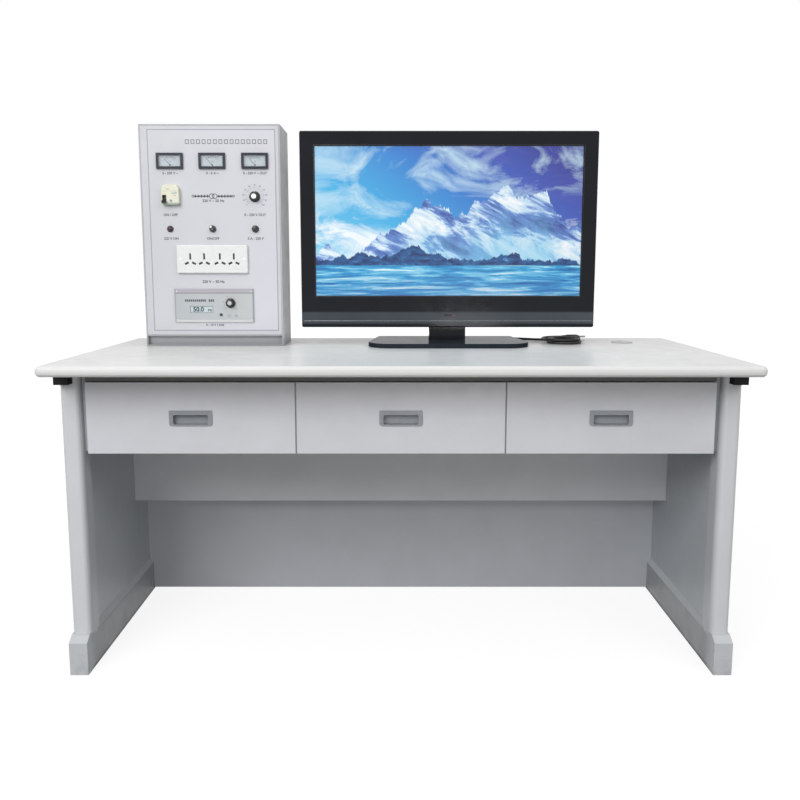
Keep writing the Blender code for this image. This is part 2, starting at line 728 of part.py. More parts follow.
def make_end_frame(side, hand):
    low_x, high_x = across(side, POST_INNER, POST_OUTER)
    post = block(
        "leg_post_" + hand,
        (low_x, POST_FRONT_Y, PLINTH_HEIGHT + SEAT_GAP),
        (high_x, POST_BACK_Y, TOP_BOTTOM - SEAT_GAP),
        "grey_enamel",
        corner=POST_CORNER_RADIUS,
        axis=2,
        front_only=True,
    )
    low_x, high_x = across(side, BEARER_INNER - SEAT_GAP, BEARER_OUTER + OVERRUN)
    notch = block(
        "post_notch_" + hand,
        (low_x, POST_FRONT_Y - OVERRUN, BEARER_BOTTOM - SEAT_GAP),
        (high_x, POST_BACK_Y + OVERRUN, TOP_BOTTOM + OVERRUN),
    )
    smooth(cut(post, notch))
    low_x, high_x = across(side, PANEL_INNER, PANEL_OUTER)
    block(
        "end_panel_" + hand,
        (low_x, POST_BACK_Y + SEAT_GAP, PLINTH_HEIGHT + SEAT_GAP),
        (high_x, FRAME_BACK_Y, BEARER_BOTTOM - SEAT_GAP),
        "grey_enamel",
    )
    low_x, high_x = across(side, BEARER_INNER, BEARER_OUTER)
    block(
        "bearer_rail_" + hand,
        (low_x, POST_FRONT_Y - BEARER_PROJECTION, BEARER_BOTTOM),
        (high_x, FRAME_BACK_Y, BEARER_BOTTOM + BEARER_HEIGHT),
        "black_plastic",
    )
    make_plinth(side, hand)


def make_plinth(side, hand):
    front = POST_FRONT_Y - PLINTH_PROJECTION
    low_x, high_x = across(side, PLINTH_INNER, PLINTH_OUTER)
    nose = (
        (front, 0),
        (front, PLINTH_RIM_HEIGHT),
        (POST_FRONT_Y, PLINTH_HEIGHT),
        (FRAME_BACK_Y, PLINTH_HEIGHT),
        (FRAME_BACK_Y, 0),
    )
    plinth = prism("plinth_" + hand, nose, low_x, high_x, "YZ", "grey_enamel")
    rise = PLINTH_HEIGHT - PLINTH_RIM_HEIGHT
    run = PANEL_INNER - PLINTH_INNER
    chamfer = (
        (side * (PLINTH_INNER - run), PLINTH_RIM_HEIGHT - rise),
        (side * (PANEL_INNER + run), PLINTH_HEIGHT + rise),
        (side * (PLINTH_INNER - run), PLINTH_HEIGHT + rise),
    )
    wedge = prism(
        "plinth_wedge_" + hand, chamfer, POST_BACK_Y + SEAT_GAP, FRAME_BACK_Y + OVERRUN, "XZ"
    )
    cut(plinth, wedge)


def make_rear_boards():
    reach = PANEL_INNER - SEAT_GAP
    trough = (
        (DUCT_FRONT_Y, DUCT_BOTTOM),
        (DUCT_FRONT_Y, DUCT_BOTTOM + DUCT_HEIGHT),
        (DUCT_FRONT_Y + DUCT_WALL, DUCT_BOTTOM + DUCT_HEIGHT),
        (DUCT_FRONT_Y + DUCT_WALL, DUCT_BOTTOM + DUCT_WALL),
        (MODESTY_FRONT_Y - SEAT_GAP, DUCT_BOTTOM + DUCT_WALL),
        (MODESTY_FRONT_Y - SEAT_GAP, DUCT_BOTTOM),
    )
    prism("cable_duct", trough, -reach, reach, "YZ", "grey_enamel")
    foot = PLINTH_INNER - SEAT_GAP
    rim = PLINTH_RIM_HEIGHT + SEAT_GAP
    shoulder = PLINTH_HEIGHT + SEAT_GAP
    half = (
        (foot, MODESTY_FLOOR_CLEARANCE),
        (foot, rim),
        (reach, shoulder),
        (reach, BEARER_BOTTOM - SEAT_GAP),
        (BEARER_INNER - SEAT_GAP, BEARER_BOTTOM - SEAT_GAP),
        (BEARER_INNER - SEAT_GAP, TOP_BOTTOM - SEAT_GAP),
    )
    outline = list(half) + [(-x, z) for x, z in reversed(half)]
    back = MODESTY_FRONT_Y + MODESTY_THICKNESS
    prism("modesty_panel", outline, MODESTY_FRONT_Y, back, "XZ", "grey_enamel")


def make_carriers():
    """The boards under the top that the drawers run on, with a ledge along each lower edge."""
    top = TOP_BOTTOM - SEAT_GAP
    half = CARRIER_THICKNESS / 2
    for side, hand in ((-1, "left"), (1, "right")):
        middle = side * DRAWER_PITCH / 2
        outline = (
            (middle - half - LEDGE_WIDTH, LEDGE_BOTTOM),
            (middle + half + LEDGE_WIDTH, LEDGE_BOTTOM),
            (middle + half + LEDGE_WIDTH, LEDGE_TOP),
            (middle + half, LEDGE_TOP),
            (middle + half, top),
            (middle - half, top),
            (middle - half, LEDGE_TOP),
            (middle - half - LEDGE_WIDTH, LEDGE_TOP),
        )
        prism("drawer_divider_" + hand, outline, CARRIER_FRONT_Y, CARRIER_BACK_Y, "XZ", "board_grey")
        outline = (
            (side * (SIDE_BOARD_INNER - LEDGE_WIDTH), LEDGE_BOTTOM),
            (side * SIDE_BOARD_OUTER, LEDGE_BOTTOM),
            (side * SIDE_BOARD_OUTER, top),
            (side * SIDE_BOARD_INNER, top),
            (side * SIDE_BOARD_INNER, LEDGE_TOP),
            (side * (SIDE_BOARD_INNER - LEDGE_WIDTH), LEDGE_TOP),
        )
        prism("drawer_side_" + hand, outline, CARRIER_FRONT_Y, CARRIER_BACK_Y, "XZ", "board_grey")


def make_drawer(index, hand):
    middle = (index - (DRAWER_COUNT - 1) / 2) * DRAWER_PITCH
    left_face = middle - DRAWER_PITCH / 2 + CARRIER_THICKNESS / 2
    right_face = middle + DRAWER_PITCH / 2 - CARRIER_THICKNESS / 2
    if index == 0:
        left_face = -SIDE_BOARD_INNER
    if index == DRAWER_COUNT - 1:
        right_face = SIDE_BOARD_INNER
    front = make_drawer_front(middle, hand)
    pull = make_pull(middle, hand)
    shape = bmesh.new()
    tray_bottom = LEDGE_TOP + SEAT_GAP
    box_into(
        shape,
        (left_face + SLIDE_CLEARANCE, CARRIER_FRONT_Y, tray_bottom),
        (right_face - SLIDE_CLEARANCE, TRAY_BACK_Y, tray_bottom + TRAY_HEIGHT),
    )
    lid = max(shape.faces, key=lambda face: face.calc_center_median().z)
    bmesh.ops.delete(shape, geom=[lid], context="FACES")
    tray = add_shape(hand + "_drawer_tray", shape, "board_grey", (middle, CARRIER_FRONT_Y, tray_bottom))
    wall = tray.modifiers.new("wall", "SOLIDIFY")
    wall.thickness = TRAY_WALL
    wall.offset = -1
    wall.use_even_offset = True
    carry(hand + "_drawer_slide", (middle, POST_FRONT_Y, LEDGE_TOP), front, pull, tray)


def make_drawer_front(middle, hand):
    front = block(
        hand + "_drawer_front",
        (middle - DRAWER_WIDTH / 2, POST_FRONT_Y, DRAWER_FRONT_BOTTOM),
        (
            middle + DRAWER_WIDTH / 2,
            POST_FRONT_Y + DRAWER_FRONT_THICKNESS,
            DRAWER_FRONT_BOTTOM + DRAWER_FRONT_HEIGHT,
        ),
        "drawer_enamel",
    )
    soften(front, DRAWER_EDGE_RADIUS)
    height = DRAWER_FRONT_BOTTOM + DRAWER_FRONT_HEIGHT / 2 - PULL_POCKET_DROP
    half_width = PULL_POCKET_WIDTH / 2 + PULL_WALL + SEAT_GAP
    half_height = PULL_POCKET_HEIGHT / 2 + PULL_WALL + SEAT_GAP
    hole = block(
        hand + "_pull_hole",
        (middle - half_width, POST_FRONT_Y - OVERRUN, height - half_height),
        (middle + half_width, POST_FRONT_Y + DRAWER_FRONT_THICKNESS + OVERRUN, height + half_height),
    )
    return cut(front, hole)


def make_pull(middle, hand):
    height = DRAWER_FRONT_BOTTOM + DRAWER_FRONT_HEIGHT / 2
    face = POST_FRONT_Y - SEAT_GAP - PULL_FLANGE
    flange = rounded_outline(
        middle - PULL_WIDTH / 2,
        middle + PULL_WIDTH / 2,
        height - PULL_HEIGHT / 2,
        height + PULL_HEIGHT / 2,
        PULL_LOWER_RADIUS,
        PULL_UPPER_RADIUS,
    )
    pull = prism(hand + "_drawer_pull", flange, face, POST_FRONT_Y - SEAT_GAP, "XZ", "pull_plastic")
    height -= PULL_POCKET_DROP
    half_width = PULL_POCKET_WIDTH / 2
    half_height = PULL_POCKET_HEIGHT / 2
    cup = block(
        hand + "_pull_cup",
        (middle - half_width - PULL_WALL, face + PULL_FLANGE / 2, height - half_height - PULL_WALL),
        (
            middle + half_width + PULL_WALL,
            face + PULL_POCKET_DEPTH + PULL_WALL,
            height + half_height + PULL_WALL,
        ),
    )
    pocket = block(
        hand + "_pull_pocket",
        (middle - half_width, face - OVERRUN, height - half_height),
        (middle + half_width, face + PULL_POCKET_DEPTH, height + half_height),
        corner=PULL_CORNER_RADIUS,
    )
    return cut(join(pull, cup), pocket)


def make_console_case():
    half = CONSOLE_WIDTH / 2
    shape = bmesh.new()
    box_into(
        shape,
        (CONSOLE_X - half, CONSOLE_FRONT_Y, CONSOLE_BOTTOM),
        (CONSOLE_X + half, CONSOLE_BACK_Y, CONSOLE_TOP),
    )
    ends = [face for face in shape.faces if abs(face.normal.y) > abs(face.normal.x) + abs(face.normal.z)]
    bmesh.ops.delete(shape, geom=ends, context="FACES")
    case = add_shape("console_case", shape, "console_steel", (CONSOLE_X, CONSOLE_FRONT_Y, CONSOLE_BOTTOM))
    wall = case.modifiers.new("wall", "SOLIDIFY")
    wall.thickness = CASE_WALL
    wall.offset = -1
    wall.use_even_offset = True
    inner = half - CASE_WALL / 2
    shelf_top = DESK_HEIGHT + KICK_HEIGHT
    shelf = block(
        "case_shelf",
        (CONSOLE_X - inner, CONSOLE_FRONT_Y + OVERRUN, shelf_top - CASE_WALL),
        (CONSOLE_X + inner, CONSOLE_FRONT_Y + SHELF_DEPTH, shelf_top),
    )
    kick = block(
        "case_kick",
        (CONSOLE_X - inner, CONSOLE_FRONT_Y + KICK_RECESS, CONSOLE_BOTTOM + CASE_WALL / 2),
        (CONSOLE_X + inner, CONSOLE_FRONT_Y + KICK_RECESS + KICK_WALL, shelf_top - CASE_WALL / 2),
    )
    join(case, shelf, kick)


def on_console(column_share, row_share):
    """World X and Z of a place on the console's front."""
    return CONSOLE_LEFT + column_share * CONSOLE_WIDTH, DESK_HEIGHT + row_share * CONSOLE_HEIGHT


def around(x, z, width, height, near_y, far_y):
    """The corners of a box centred on a place of the front."""
    return (x - width / 2, near_y, z - height / 2), (x + width / 2, far_y, z + height / 2)


def make_front_panel():
    half = CONSOLE_WIDTH / 2 - CASE_WALL - SEAT_GAP
    top = CONSOLE_TOP - CASE_WALL - SEAT_GAP
    panel = block(
        "console_front_panel",
        (CONSOLE_X - half, CONSOLE_FRONT_Y, DESK_HEIGHT + KICK_HEIGHT + SEAT_GAP),
        (CONSOLE_X + half, FRONT_PANEL_BACK_Y, top),
        "panel_enamel",
    )
    near_y, far_y = CONSOLE_FRONT_Y - OVERRUN, FRONT_PANEL_BACK_Y + OVERRUN
    windows = []
    for share in METER_COLUMN_SHARES:
        x, z = on_console(share, METER_ROW_SHARE)
        width = METER_WIDTH - 2 * METER_BODY_MARGIN + 2 * BODY_GAP
        height = METER_HEIGHT - 2 * METER_BODY_MARGIN + 2 * BODY_GAP
        windows.append(around(x, z, width, height, near_y, far_y))
    x, z = on_console(BREAKER_COLUMN_SHARE, BREAKER_ROW_SHARE)
    width = BREAKER_WIDTH - 2 * BREAKER_MARGIN + 2 * BODY_GAP
    height = BREAKER_HEIGHT - 2 * BREAKER_MARGIN + 2 * BODY_GAP
    windows.append(around(x, z, width, height, near_y, far_y))
    x, z = on_console(*SOCKET_PLACE_SHARES)
    width = SOCKET_WIDTH - 2 * SOCKET_MARGIN + 2 * BODY_GAP
    height = SOCKET_HEIGHT - 2 * SOCKET_MARGIN + 2 * BODY_GAP
    windows.append(around(x, z, width, height, near_y, far_y))
    x, z = on_console(*GENERATOR_PLACE_SHARES)
    width = GENERATOR_WIDTH - 2 * GENERATOR_MARGIN + 2 * BODY_GAP
    height = GENERATOR_HEIGHT - 2 * GENERATOR_MARGIN + 2 * BODY_GAP
    windows.append(around(x, z, width, height, near_y, far_y))
    cut(panel, blocks("panel_windows", windows))
    holes = (
        ("knob_hole", COLUMN_SHARES[2], KNOB_ROW_SHARE, SHAFT_RADIUS),
        ("lamp_hole", COLUMN_SHARES[0], SWITCH_ROW_SHARE, LAMP_STEM_RADIUS),
        ("toggle_hole", COLUMN_SHARES[1], SWITCH_ROW_SHARE, TOGGLE_BUSH_RADIUS),
        ("fuse_hole", COLUMN_SHARES[2], SWITCH_ROW_SHARE, FUSE_STEM_RADIUS),
    )
    for name, column_share, row_share, radius in holes:
        x, z = on_console(column_share, row_share)
        cut(panel, rod(name, (x, near_y, z), (x, far_y, z), radius + BODY_GAP, steps=SMALL_STEPS))


def make_rear_cover():
    half = CONSOLE_WIDTH / 2 - CASE_WALL - SEAT_GAP
    front_y = CONSOLE_BACK_Y - REAR_COVER_THICKNESS
    cover = block(
        "console_rear_cover",
        (CONSOLE_X - half, front_y, CONSOLE_BOTTOM + CASE_WALL + SEAT_GAP),
        (CONSOLE_X + half, CONSOLE_BACK_Y, CONSOLE_TOP - CASE_WALL - SEAT_GAP),
        "console_steel",
    )
    near_y, far_y = front_y - OVERRUN, CONSOLE_BACK_Y + OVERRUN
    middle = DESK_HEIGHT + VENT_HEIGHT_SHARE * CONSOLE_HEIGHT
    openings = []
    for index in range(VENT_COUNT):
        z = middle + (index - (VENT_COUNT - 1) / 2) * VENT_PITCH
        openings.append(around(CONSOLE_X, z, VENT_LENGTH, VENT_WIDTH, near_y, far_y))
    z = DESK_HEIGHT + INLET_HEIGHT_SHARE * CONSOLE_HEIGHT
    openings.append(around(CONSOLE_X, z, INLET_WIDTH, INLET_HEIGHT, near_y, far_y))
    cut(cover, blocks("rear_openings", openings))


def make_meter(column_share, hand):
    x, z = on_console(column_share, METER_ROW_SHARE)
    face = CONSOLE_FRONT_Y - SEAT_GAP - METER_PROUD
    body = block(
        hand + "_meter_body",
        *around(x, z, METER_WIDTH, METER_HEIGHT, face, CONSOLE_FRONT_Y - SEAT_GAP),
        "meter_plastic",
    )
    rear = block(
        hand + "_meter_rear",
        *around(
            x,
            z,
            METER_WIDTH - 2 * METER_BODY_MARGIN,
            METER_HEIGHT - 2 * METER_BODY_MARGIN,
            face + METER_PROUD / 2,
            FRONT_PANEL_BACK_Y + METER_BODY_DEPTH,
        ),
    )
    inner_width = METER_WIDTH - 2 * METER_FRAME
    inner_height = METER_HEIGHT - 2 * METER_FRAME
    dial = face + METER_CAVITY_DEPTH
    cavity = block(hand + "_meter_cavity", *around(x, z, inner_width, inner_height, face - OVERRUN, dial))
    cut(join(body, rear), cavity)
    glass = face + METER_WINDOW_RECESS
    block(
        hand + "_meter_window",
        *around(
            x,
            z,
            inner_width - 2 * SEAT_GAP,
            inner_height - 2 * SEAT_GAP,
            glass,
            glass + METER_WINDOW_THICKNESS,
        ),
        "meter_glass",
    )
    make_needle(hand, x, z - inner_height / 2 + NEEDLE_PIVOT_RISE, dial - SEAT_GAP)


def make_needle(hand, x, z, back_y):
    outline = []
    for step in range(SMALL_STEPS - 3):
        angle = math.tau * (step + 2) / SMALL_STEPS + math.pi / 2
        outline.append((NEEDLE_HUB_RADIUS * math.cos(angle), NEEDLE_HUB_RADIUS * math.sin(angle)))
    outline.append((NEEDLE_TAIL_WIDTH / 2, NEEDLE_HUB_RADIUS))
    outline.append((NEEDLE_TIP_WIDTH / 2, NEEDLE_LENGTH))
    outline.append((-NEEDLE_TIP_WIDTH / 2, NEEDLE_LENGTH))
    outline.append((-NEEDLE_TAIL_WIDTH / 2, NEEDLE_HUB_RADIUS))
    half = NEEDLE_THICKNESS / 2
    needle = prism(hand + "_meter_needle", outline, -half, half, "XZ", "needle_black")
    needle.location = (x, back_y - NEEDLE_THICKNESS / 2, z)
    needle.rotation_euler.y = NEEDLE_REST_ANGLE


def make_breaker():
    x, z = on_console(BREAKER_COLUMN_SHARE, BREAKER_ROW_SHARE)
    face = CONSOLE_FRONT_Y - BREAKER_PROUD
    outline = rounded_outline(
        x - BREAKER_WIDTH / 2,
        x + BREAKER_WIDTH / 2,
        z - BREAKER_HEIGHT / 2,
        z + BREAKER_HEIGHT / 2,
        BREAKER_CORNER_RADIUS,
        BREAKER_ARCH_RADIUS,
    )
    body = prism("breaker_body", outline, face, CONSOLE_FRONT_Y - SEAT_GAP, "XZ", "cream_plastic")
    soften(body, BREAKER_EDGE_RADIUS)
    width = BREAKER_WIDTH - 2 * BREAKER_MARGIN
    height = BREAKER_HEIGHT - 2 * BREAKER_MARGIN
    near_y, far_y = face + BREAKER_PROUD / 2, CONSOLE_FRONT_Y + BREAKER_DEPTH
    join(body, block("breaker_rear", *around(x, z, width, height, near_y, far_y)))
    pivot = Vector((x + LEVER_OFFSET_X, face + LEVER_HUB_DEPTH, z + LEVER_OFFSET_Z))
    slot_width = LEVER_WIDTH + 2 * LEVER_SLOT_CLEARANCE
    slot_depth = LEVER_HUB_DEPTH + LEVER_HUB_RADIUS + LEVER_SLOT_CLEARANCE
    slot = block(
        "lever_slot",
        *around(pivot.x, pivot.z, slot_width, LEVER_SLOT_HEIGHT, face - OVERRUN, face + slot_depth),
    )
    button = Vector((x + TEST_BUTTON_OFFSET_X, face - TEST_BUTTON_PROUD, z + TEST_BUTTON_OFFSET_Z))
    inward = Vector((0, TEST_BUTTON_LENGTH, 0))
    room = Vector((0, TEST_BUTTON_LENGTH + TEST_BUTTON_TRAVEL + SEAT_GAP, 0))
    hole = rod("button_hole", button, button + room, TEST_BUTTON_RADIUS + SEAT_GAP, steps=SMALL_STEPS)
    cut(body, slot, hole)
    rod("breaker_test_button", button, button + inward, TEST_BUTTON_RADIUS, "grey_enamel", SMALL_STEPS)
    half = Vector((LEVER_WIDTH / 2, 0, 0))
    lever = rod("breaker_lever", pivot - half, pivot + half, LEVER_HUB_RADIUS, "knob_plastic", SMALL_STEPS)
    handle = block(
        "lever_handle",
        (pivot.x - half.x, pivot.y - LEVER_REACH, pivot.z - LEVER_THICKNESS / 2),
        (pivot.x + half.x, pivot.y, pivot.z + LEVER_THICKNESS / 2),
        origin=pivot,
    )
    handle.rotation_euler.x = -LEVER_REST_ANGLE
    join(lever, handle)


def make_knob(name, x, z, face_y, size_share):
    """A skirted knob with a bright cap and its shaft, scaled from the regulator's sizes."""
    grip = KNOB_GRIP_RADIUS * size_share
    top = KNOB_HEIGHT * size_share
    skirt = KNOB_RADIUS * size_share
    cap = KNOB_CAP_RADIUS * size_share
    profile = (
        (0, top + KNOB_CAP_RISE),
        (cap, top + KNOB_CAP_RISE),
        (cap, top),
        (KNOB_TOP_RADIUS * size_share, top),
        (grip, top - KNOB_CAP_RISE),
        (grip, KNOB_SKIRT_HEIGHT + KNOB_CAP_RISE),
        (skirt - KNOB_CAP_RISE, KNOB_SKIRT_HEIGHT),
        (skirt, SEAT_GAP + KNOB_CAP_RISE),
        (skirt, SEAT_GAP),
        (SHAFT_RADIUS, SEAT_GAP),
        (SHAFT_RADIUS, -SHAFT_LENGTH),
        (0, -SHAFT_LENGTH),
    )
    return turned(name, profile, (x, face_y, z), "knob_plastic", steps=ROUND_STEPS)


def make_regulator():
    x, z = on_console(COLUMN_SHARES[2], KNOB_ROW_SHARE)
    make_knob("regulator_knob", x, z, CONSOLE_FRONT_Y, 1)


def make_lamp():
    x, z = on_console(COLUMN_SHARES[0], SWITCH_ROW_SHARE)
    dome = [(0, LAMP_LENS_HEIGHT)]
    for step in range(1, CORNER_SEGMENTS + 1):
        angle = math.pi / 2 * step / CORNER_SEGMENTS
        rise = (LAMP_LENS_HEIGHT - LAMP_BEZEL_HEIGHT) * math.cos(angle)
        dome.append((LAMP_LENS_RADIUS * math.sin(angle), LAMP_BEZEL_HEIGHT + rise))
    profile = dome + [
        (LAMP_BEZEL_RADIUS, LAMP_BEZEL_HEIGHT),
        (LAMP_BEZEL_RADIUS, SEAT_GAP),
        (LAMP_STEM_RADIUS, SEAT_GAP),
        (LAMP_STEM_RADIUS, -LAMP_STEM_LENGTH),
        (0, -LAMP_STEM_LENGTH),
    ]
    turned("power_lamp", profile, (x, CONSOLE_FRONT_Y, z), "lamp_red", steps=SMALL_STEPS)


def make_toggle():
    x, z = on_console(COLUMN_SHARES[1], SWITCH_ROW_SHARE)
    depth = FRONT_PANEL_THICKNESS + SEAT_GAP
    pivot_height = TOGGLE_BUSH_HEIGHT - TOGGLE_PIVOT_DEPTH
    floor = pivot_height - TOGGLE_BALL_RADIUS - SEAT_GAP
    profile = (
        (0, TOGGLE_BUSH_HEIGHT),
        (TOGGLE_BUSH_RADIUS, TOGGLE_BUSH_HEIGHT),
        (TOGGLE_BUSH_RADIUS, SEAT_GAP + TOGGLE_NUT_HEIGHT),
        (TOGGLE_NUT_RADIUS, SEAT_GAP + TOGGLE_NUT_HEIGHT),
        (TOGGLE_NUT_RADIUS, SEAT_GAP),
        (TOGGLE_BUSH_RADIUS, SEAT_GAP),
        (TOGGLE_BUSH_RADIUS, -depth - TOGGLE_BODY_DEPTH / 2),
        (0, -depth - TOGGLE_BODY_DEPTH / 2),
    )
    place = (x, CONSOLE_FRONT_Y, z)
    bush = turned("toggle_body", profile, place, "bright_metal", steps=SMALL_STEPS)
    body = block(
        "toggle_rear",
        *around(
            x,
            z,
            TOGGLE_BODY_SIDE,
            TOGGLE_BODY_SIDE,
            CONSOLE_FRONT_Y + depth,
            CONSOLE_FRONT_Y + depth + TOGGLE_BODY_DEPTH,
        ),
    )
    bore = rod(
        "toggle_bore",
        (x, CONSOLE_FRONT_Y - TOGGLE_BUSH_HEIGHT - OVERRUN, z),
        (x, CONSOLE_FRONT_Y - floor, z),
        TOGGLE_BORE_RADIUS,
        steps=SMALL_STEPS,
    )
    cut(join(bush, body), bore)
    lever_profile = [(0, TOGGLE_LEVER_LENGTH)]
    lever_profile.append((TOGGLE_TIP_RADIUS / 2, TOGGLE_LEVER_LENGTH))
    lever_profile.append((TOGGLE_TIP_RADIUS, TOGGLE_LEVER_LENGTH - TOGGLE_TIP_RADIUS / 2))
    lever_profile.append((TOGGLE_NECK_RADIUS, TOGGLE_BALL_RADIUS))
    neck_angle = math.asin(TOGGLE_NECK_RADIUS / TOGGLE_BALL_RADIUS)
    for step in range(CORNER_SEGMENTS + 1):
        angle = neck_angle + (math.pi - neck_angle) * (step + 1) / (CORNER_SEGMENTS + 2)
        lever_profile.append((TOGGLE_BALL_RADIUS * math.sin(angle), TOGGLE_BALL_RADIUS * math.cos(angle)))
    lever_profile.append((0, -TOGGLE_BALL_RADIUS))
    pivot = (x, CONSOLE_FRONT_Y - pivot_height, z)
    lever = turned("toggle_lever", lever_profile, pivot, "bright_metal", steps=SMALL_STEPS)
    lever.rotation_euler.x -= TOGGLE_TILT


def make_fuse_carrier():
    x, z = on_console(COLUMN_SHARES[2], SWITCH_ROW_SHARE)
    profile = (
        (0, FUSE_CAP_HEIGHT),
        (FUSE_RING_RADIUS - FUSE_SLOT_DEPTH, FUSE_CAP_HEIGHT),
        (FUSE_RING_RADIUS, FUSE_CAP_HEIGHT - FUSE_SLOT_DEPTH),
        (FUSE_RING_RADIUS, FUSE_CAP_HEIGHT / 3),
        (FUSE_CAP_RADIUS, FUSE_CAP_HEIGHT / 3),
        (FUSE_CAP_RADIUS, SEAT_GAP),
        (FUSE_STEM_RADIUS, SEAT_GAP),
        (FUSE_STEM_RADIUS, -FUSE_STEM_LENGTH),
        (0, -FUSE_STEM_LENGTH),
    )
    cap = turned("fuse_cap", profile, (x, CONSOLE_FRONT_Y, z), "knob_plastic", steps=SMALL_STEPS)
    top = CONSOLE_FRONT_Y - FUSE_CAP_HEIGHT
    slot = block(
        "fuse_slot",
        *around(x, z, 2 * FUSE_CAP_RADIUS, FUSE_SLOT_WIDTH, top - OVERRUN, top + FUSE_SLOT_DEPTH),
    )
    cut(cap, slot)


def make_socket_plate():
    x, z = on_console(*SOCKET_PLACE_SHARES)
    face = CONSOLE_FRONT_Y - SEAT_GAP - SOCKET_PROUD
    plate = block(
        "socket_plate",
        *around(x, z, SOCKET_WIDTH, SOCKET_HEIGHT, face, CONSOLE_FRONT_Y - SEAT_GAP),
        "socket_white",
    )
    soften(plate, SOCKET_EDGE_RADIUS)
    body = block(
        "socket_rear",
        *around(
            x,
            z,
            SOCKET_WIDTH - 2 * SOCKET_MARGIN,
            SOCKET_HEIGHT - 2 * SOCKET_MARGIN,
            face + SOCKET_PROUD / 2,
            FRONT_PANEL_BACK_Y + SOCKET_BODY_DEPTH,
        ),
    )
    slots, turns = [], []
    far_y = face + OUTLET_SLOT_DEPTH
    for offset in (-OUTLET_FAR_X, -OUTLET_NEAR_X, OUTLET_NEAR_X, OUTLET_FAR_X):
        earth = (OUTLET_EARTH_WIDTH, OUTLET_EARTH_LENGTH)
        live = (OUTLET_LIVE_WIDTH, OUTLET_LIVE_LENGTH)
        pins = (
            (0, OUTLET_EARTH_RISE, earth, 0),
            (-OUTLET_LIVE_SPREAD, -OUTLET_LIVE_DROP, live, OUTLET_SLOT_ANGLE),
            (OUTLET_LIVE_SPREAD, -OUTLET_LIVE_DROP, live, -OUTLET_SLOT_ANGLE),
        )
        for aside, rise, size, turn in pins:
            slots.append(around(x + offset + aside, z + rise, *size, face - OVERRUN, far_y))
            turns.append(turn)
    cut(join(plate, body), blocks("outlet_slots", slots, turns))


def make_generator():
    x, z = on_console(*GENERATOR_PLACE_SHARES)
    face = CONSOLE_FRONT_Y - SEAT_GAP - GENERATOR_PROUD
    module = block(
        "generator_module",
        *around(x, z, GENERATOR_WIDTH, GENERATOR_HEIGHT, face, CONSOLE_FRONT_Y - SEAT_GAP),
        "generator_silver",
    )
    body = block(
        "generator_rear",
        *around(
            x,
            z,
            GENERATOR_WIDTH - 2 * GENERATOR_MARGIN,
            GENERATOR_HEIGHT - 2 * GENERATOR_MARGIN,
            face + GENERATOR_PROUD / 2,
            FRONT_PANEL_BACK_Y + GENERATOR_BODY_DEPTH,
        ),
    )
    display = block(
        "generator_display",
        *around(
            x + DISPLAY_X,
            z + DISPLAY_Z,
            DISPLAY_WIDTH,
            DISPLAY_HEIGHT,
            face - OVERRUN,
            face + DISPLAY_RECESS,
        ),
    )
    knob_x, knob_z = x + GENERATOR_KNOB_X, z + GENERATOR_KNOB_Z
    hole = rod(
        "generator_hole",
        (knob_x, face - OVERRUN, knob_z),
        (knob_x, face + SHAFT_LENGTH + SEAT_GAP, knob_z),
        SHAFT_RADIUS + BODY_GAP,
        steps=SMALL_STEPS,
    )
    cut(join(module, body), display, hole)
    make_knob("generator_knob", knob_x, knob_z, face, GENERATOR_KNOB_SCALE_SHARE)


def make_transformer():
    floor = CONSOLE_BOTTOM + CASE_WALL + SEAT_GAP
    middle_y = CONSOLE_BACK_Y - CORE_BACK_CLEARANCE - CORE_DEPTH / 2
    middle_z = floor + CORE_HEIGHT / 2
    core = block(
        "isolation_transformer",
        (CONSOLE_X - CORE_WIDTH / 2, middle_y - CORE_DEPTH / 2, floor),
        (CONSOLE_X + CORE_WIDTH / 2, middle_y + CORE_DEPTH / 2, floor + CORE_HEIGHT),
        "transformer_core",
    )
    winding = block(
        "transformer_winding",
        (CONSOLE_X - WINDING_WIDTH / 2, middle_y - WINDING_DEPTH / 2, middle_z - WINDING_HEIGHT / 2),
        (CONSOLE_X + WINDING_WIDTH / 2, middle_y + WINDING_DEPTH / 2, middle_z + WINDING_HEIGHT / 2),
    )
    join(core, winding)


def make_bezel():
    bezel = block(
        "tv_front_bezel",
        (TV_X - TV_WIDTH / 2, TV_FRONT_Y, TV_BOTTOM),
        (TV_X + TV_WIDTH / 2, TV_FRONT_Y + BEZEL_DEPTH, TV_TOP),
        "tv_gloss_black",
        corner=BEZEL_CORNER_RADIUS,
    )
    soften(bezel, BEZEL_EDGE_RADIUS)
    middle_z = SCREEN_BOTTOM + SCREEN_HEIGHT / 2
    window = block(
        "bezel_window",
        *around(
            TV_X,
            middle_z,
            SCREEN_WIDTH,
            SCREEN_HEIGHT,
            TV_FRONT_Y - OVERRUN,
            TV_FRONT_Y + BEZEL_DEPTH + OVERRUN,
        ),
    )
    wide, high = SCREEN_WIDTH + 2 * SCREEN_LAP, SCREEN_HEIGHT + 2 * SCREEN_LAP
    near_y = TV_FRONT_Y + SCREEN_RECESS
    rebate = block(
        "bezel_rebate",
        *around(
            TV_X,
            middle_z,
            wide + 2 * SEAT_GAP,
            high + 2 * SEAT_GAP,
            near_y,
            TV_FRONT_Y + BEZEL_DEPTH + OVERRUN,
        ),
    )
    cut(smooth(bezel), window, rebate)
    block(
        "tv_screen",
        *around(TV_X, middle_z, wide, high, near_y + SEAT_GAP, near_y + SEAT_GAP + SCREEN_THICKNESS),
        "tv_screen",
    )


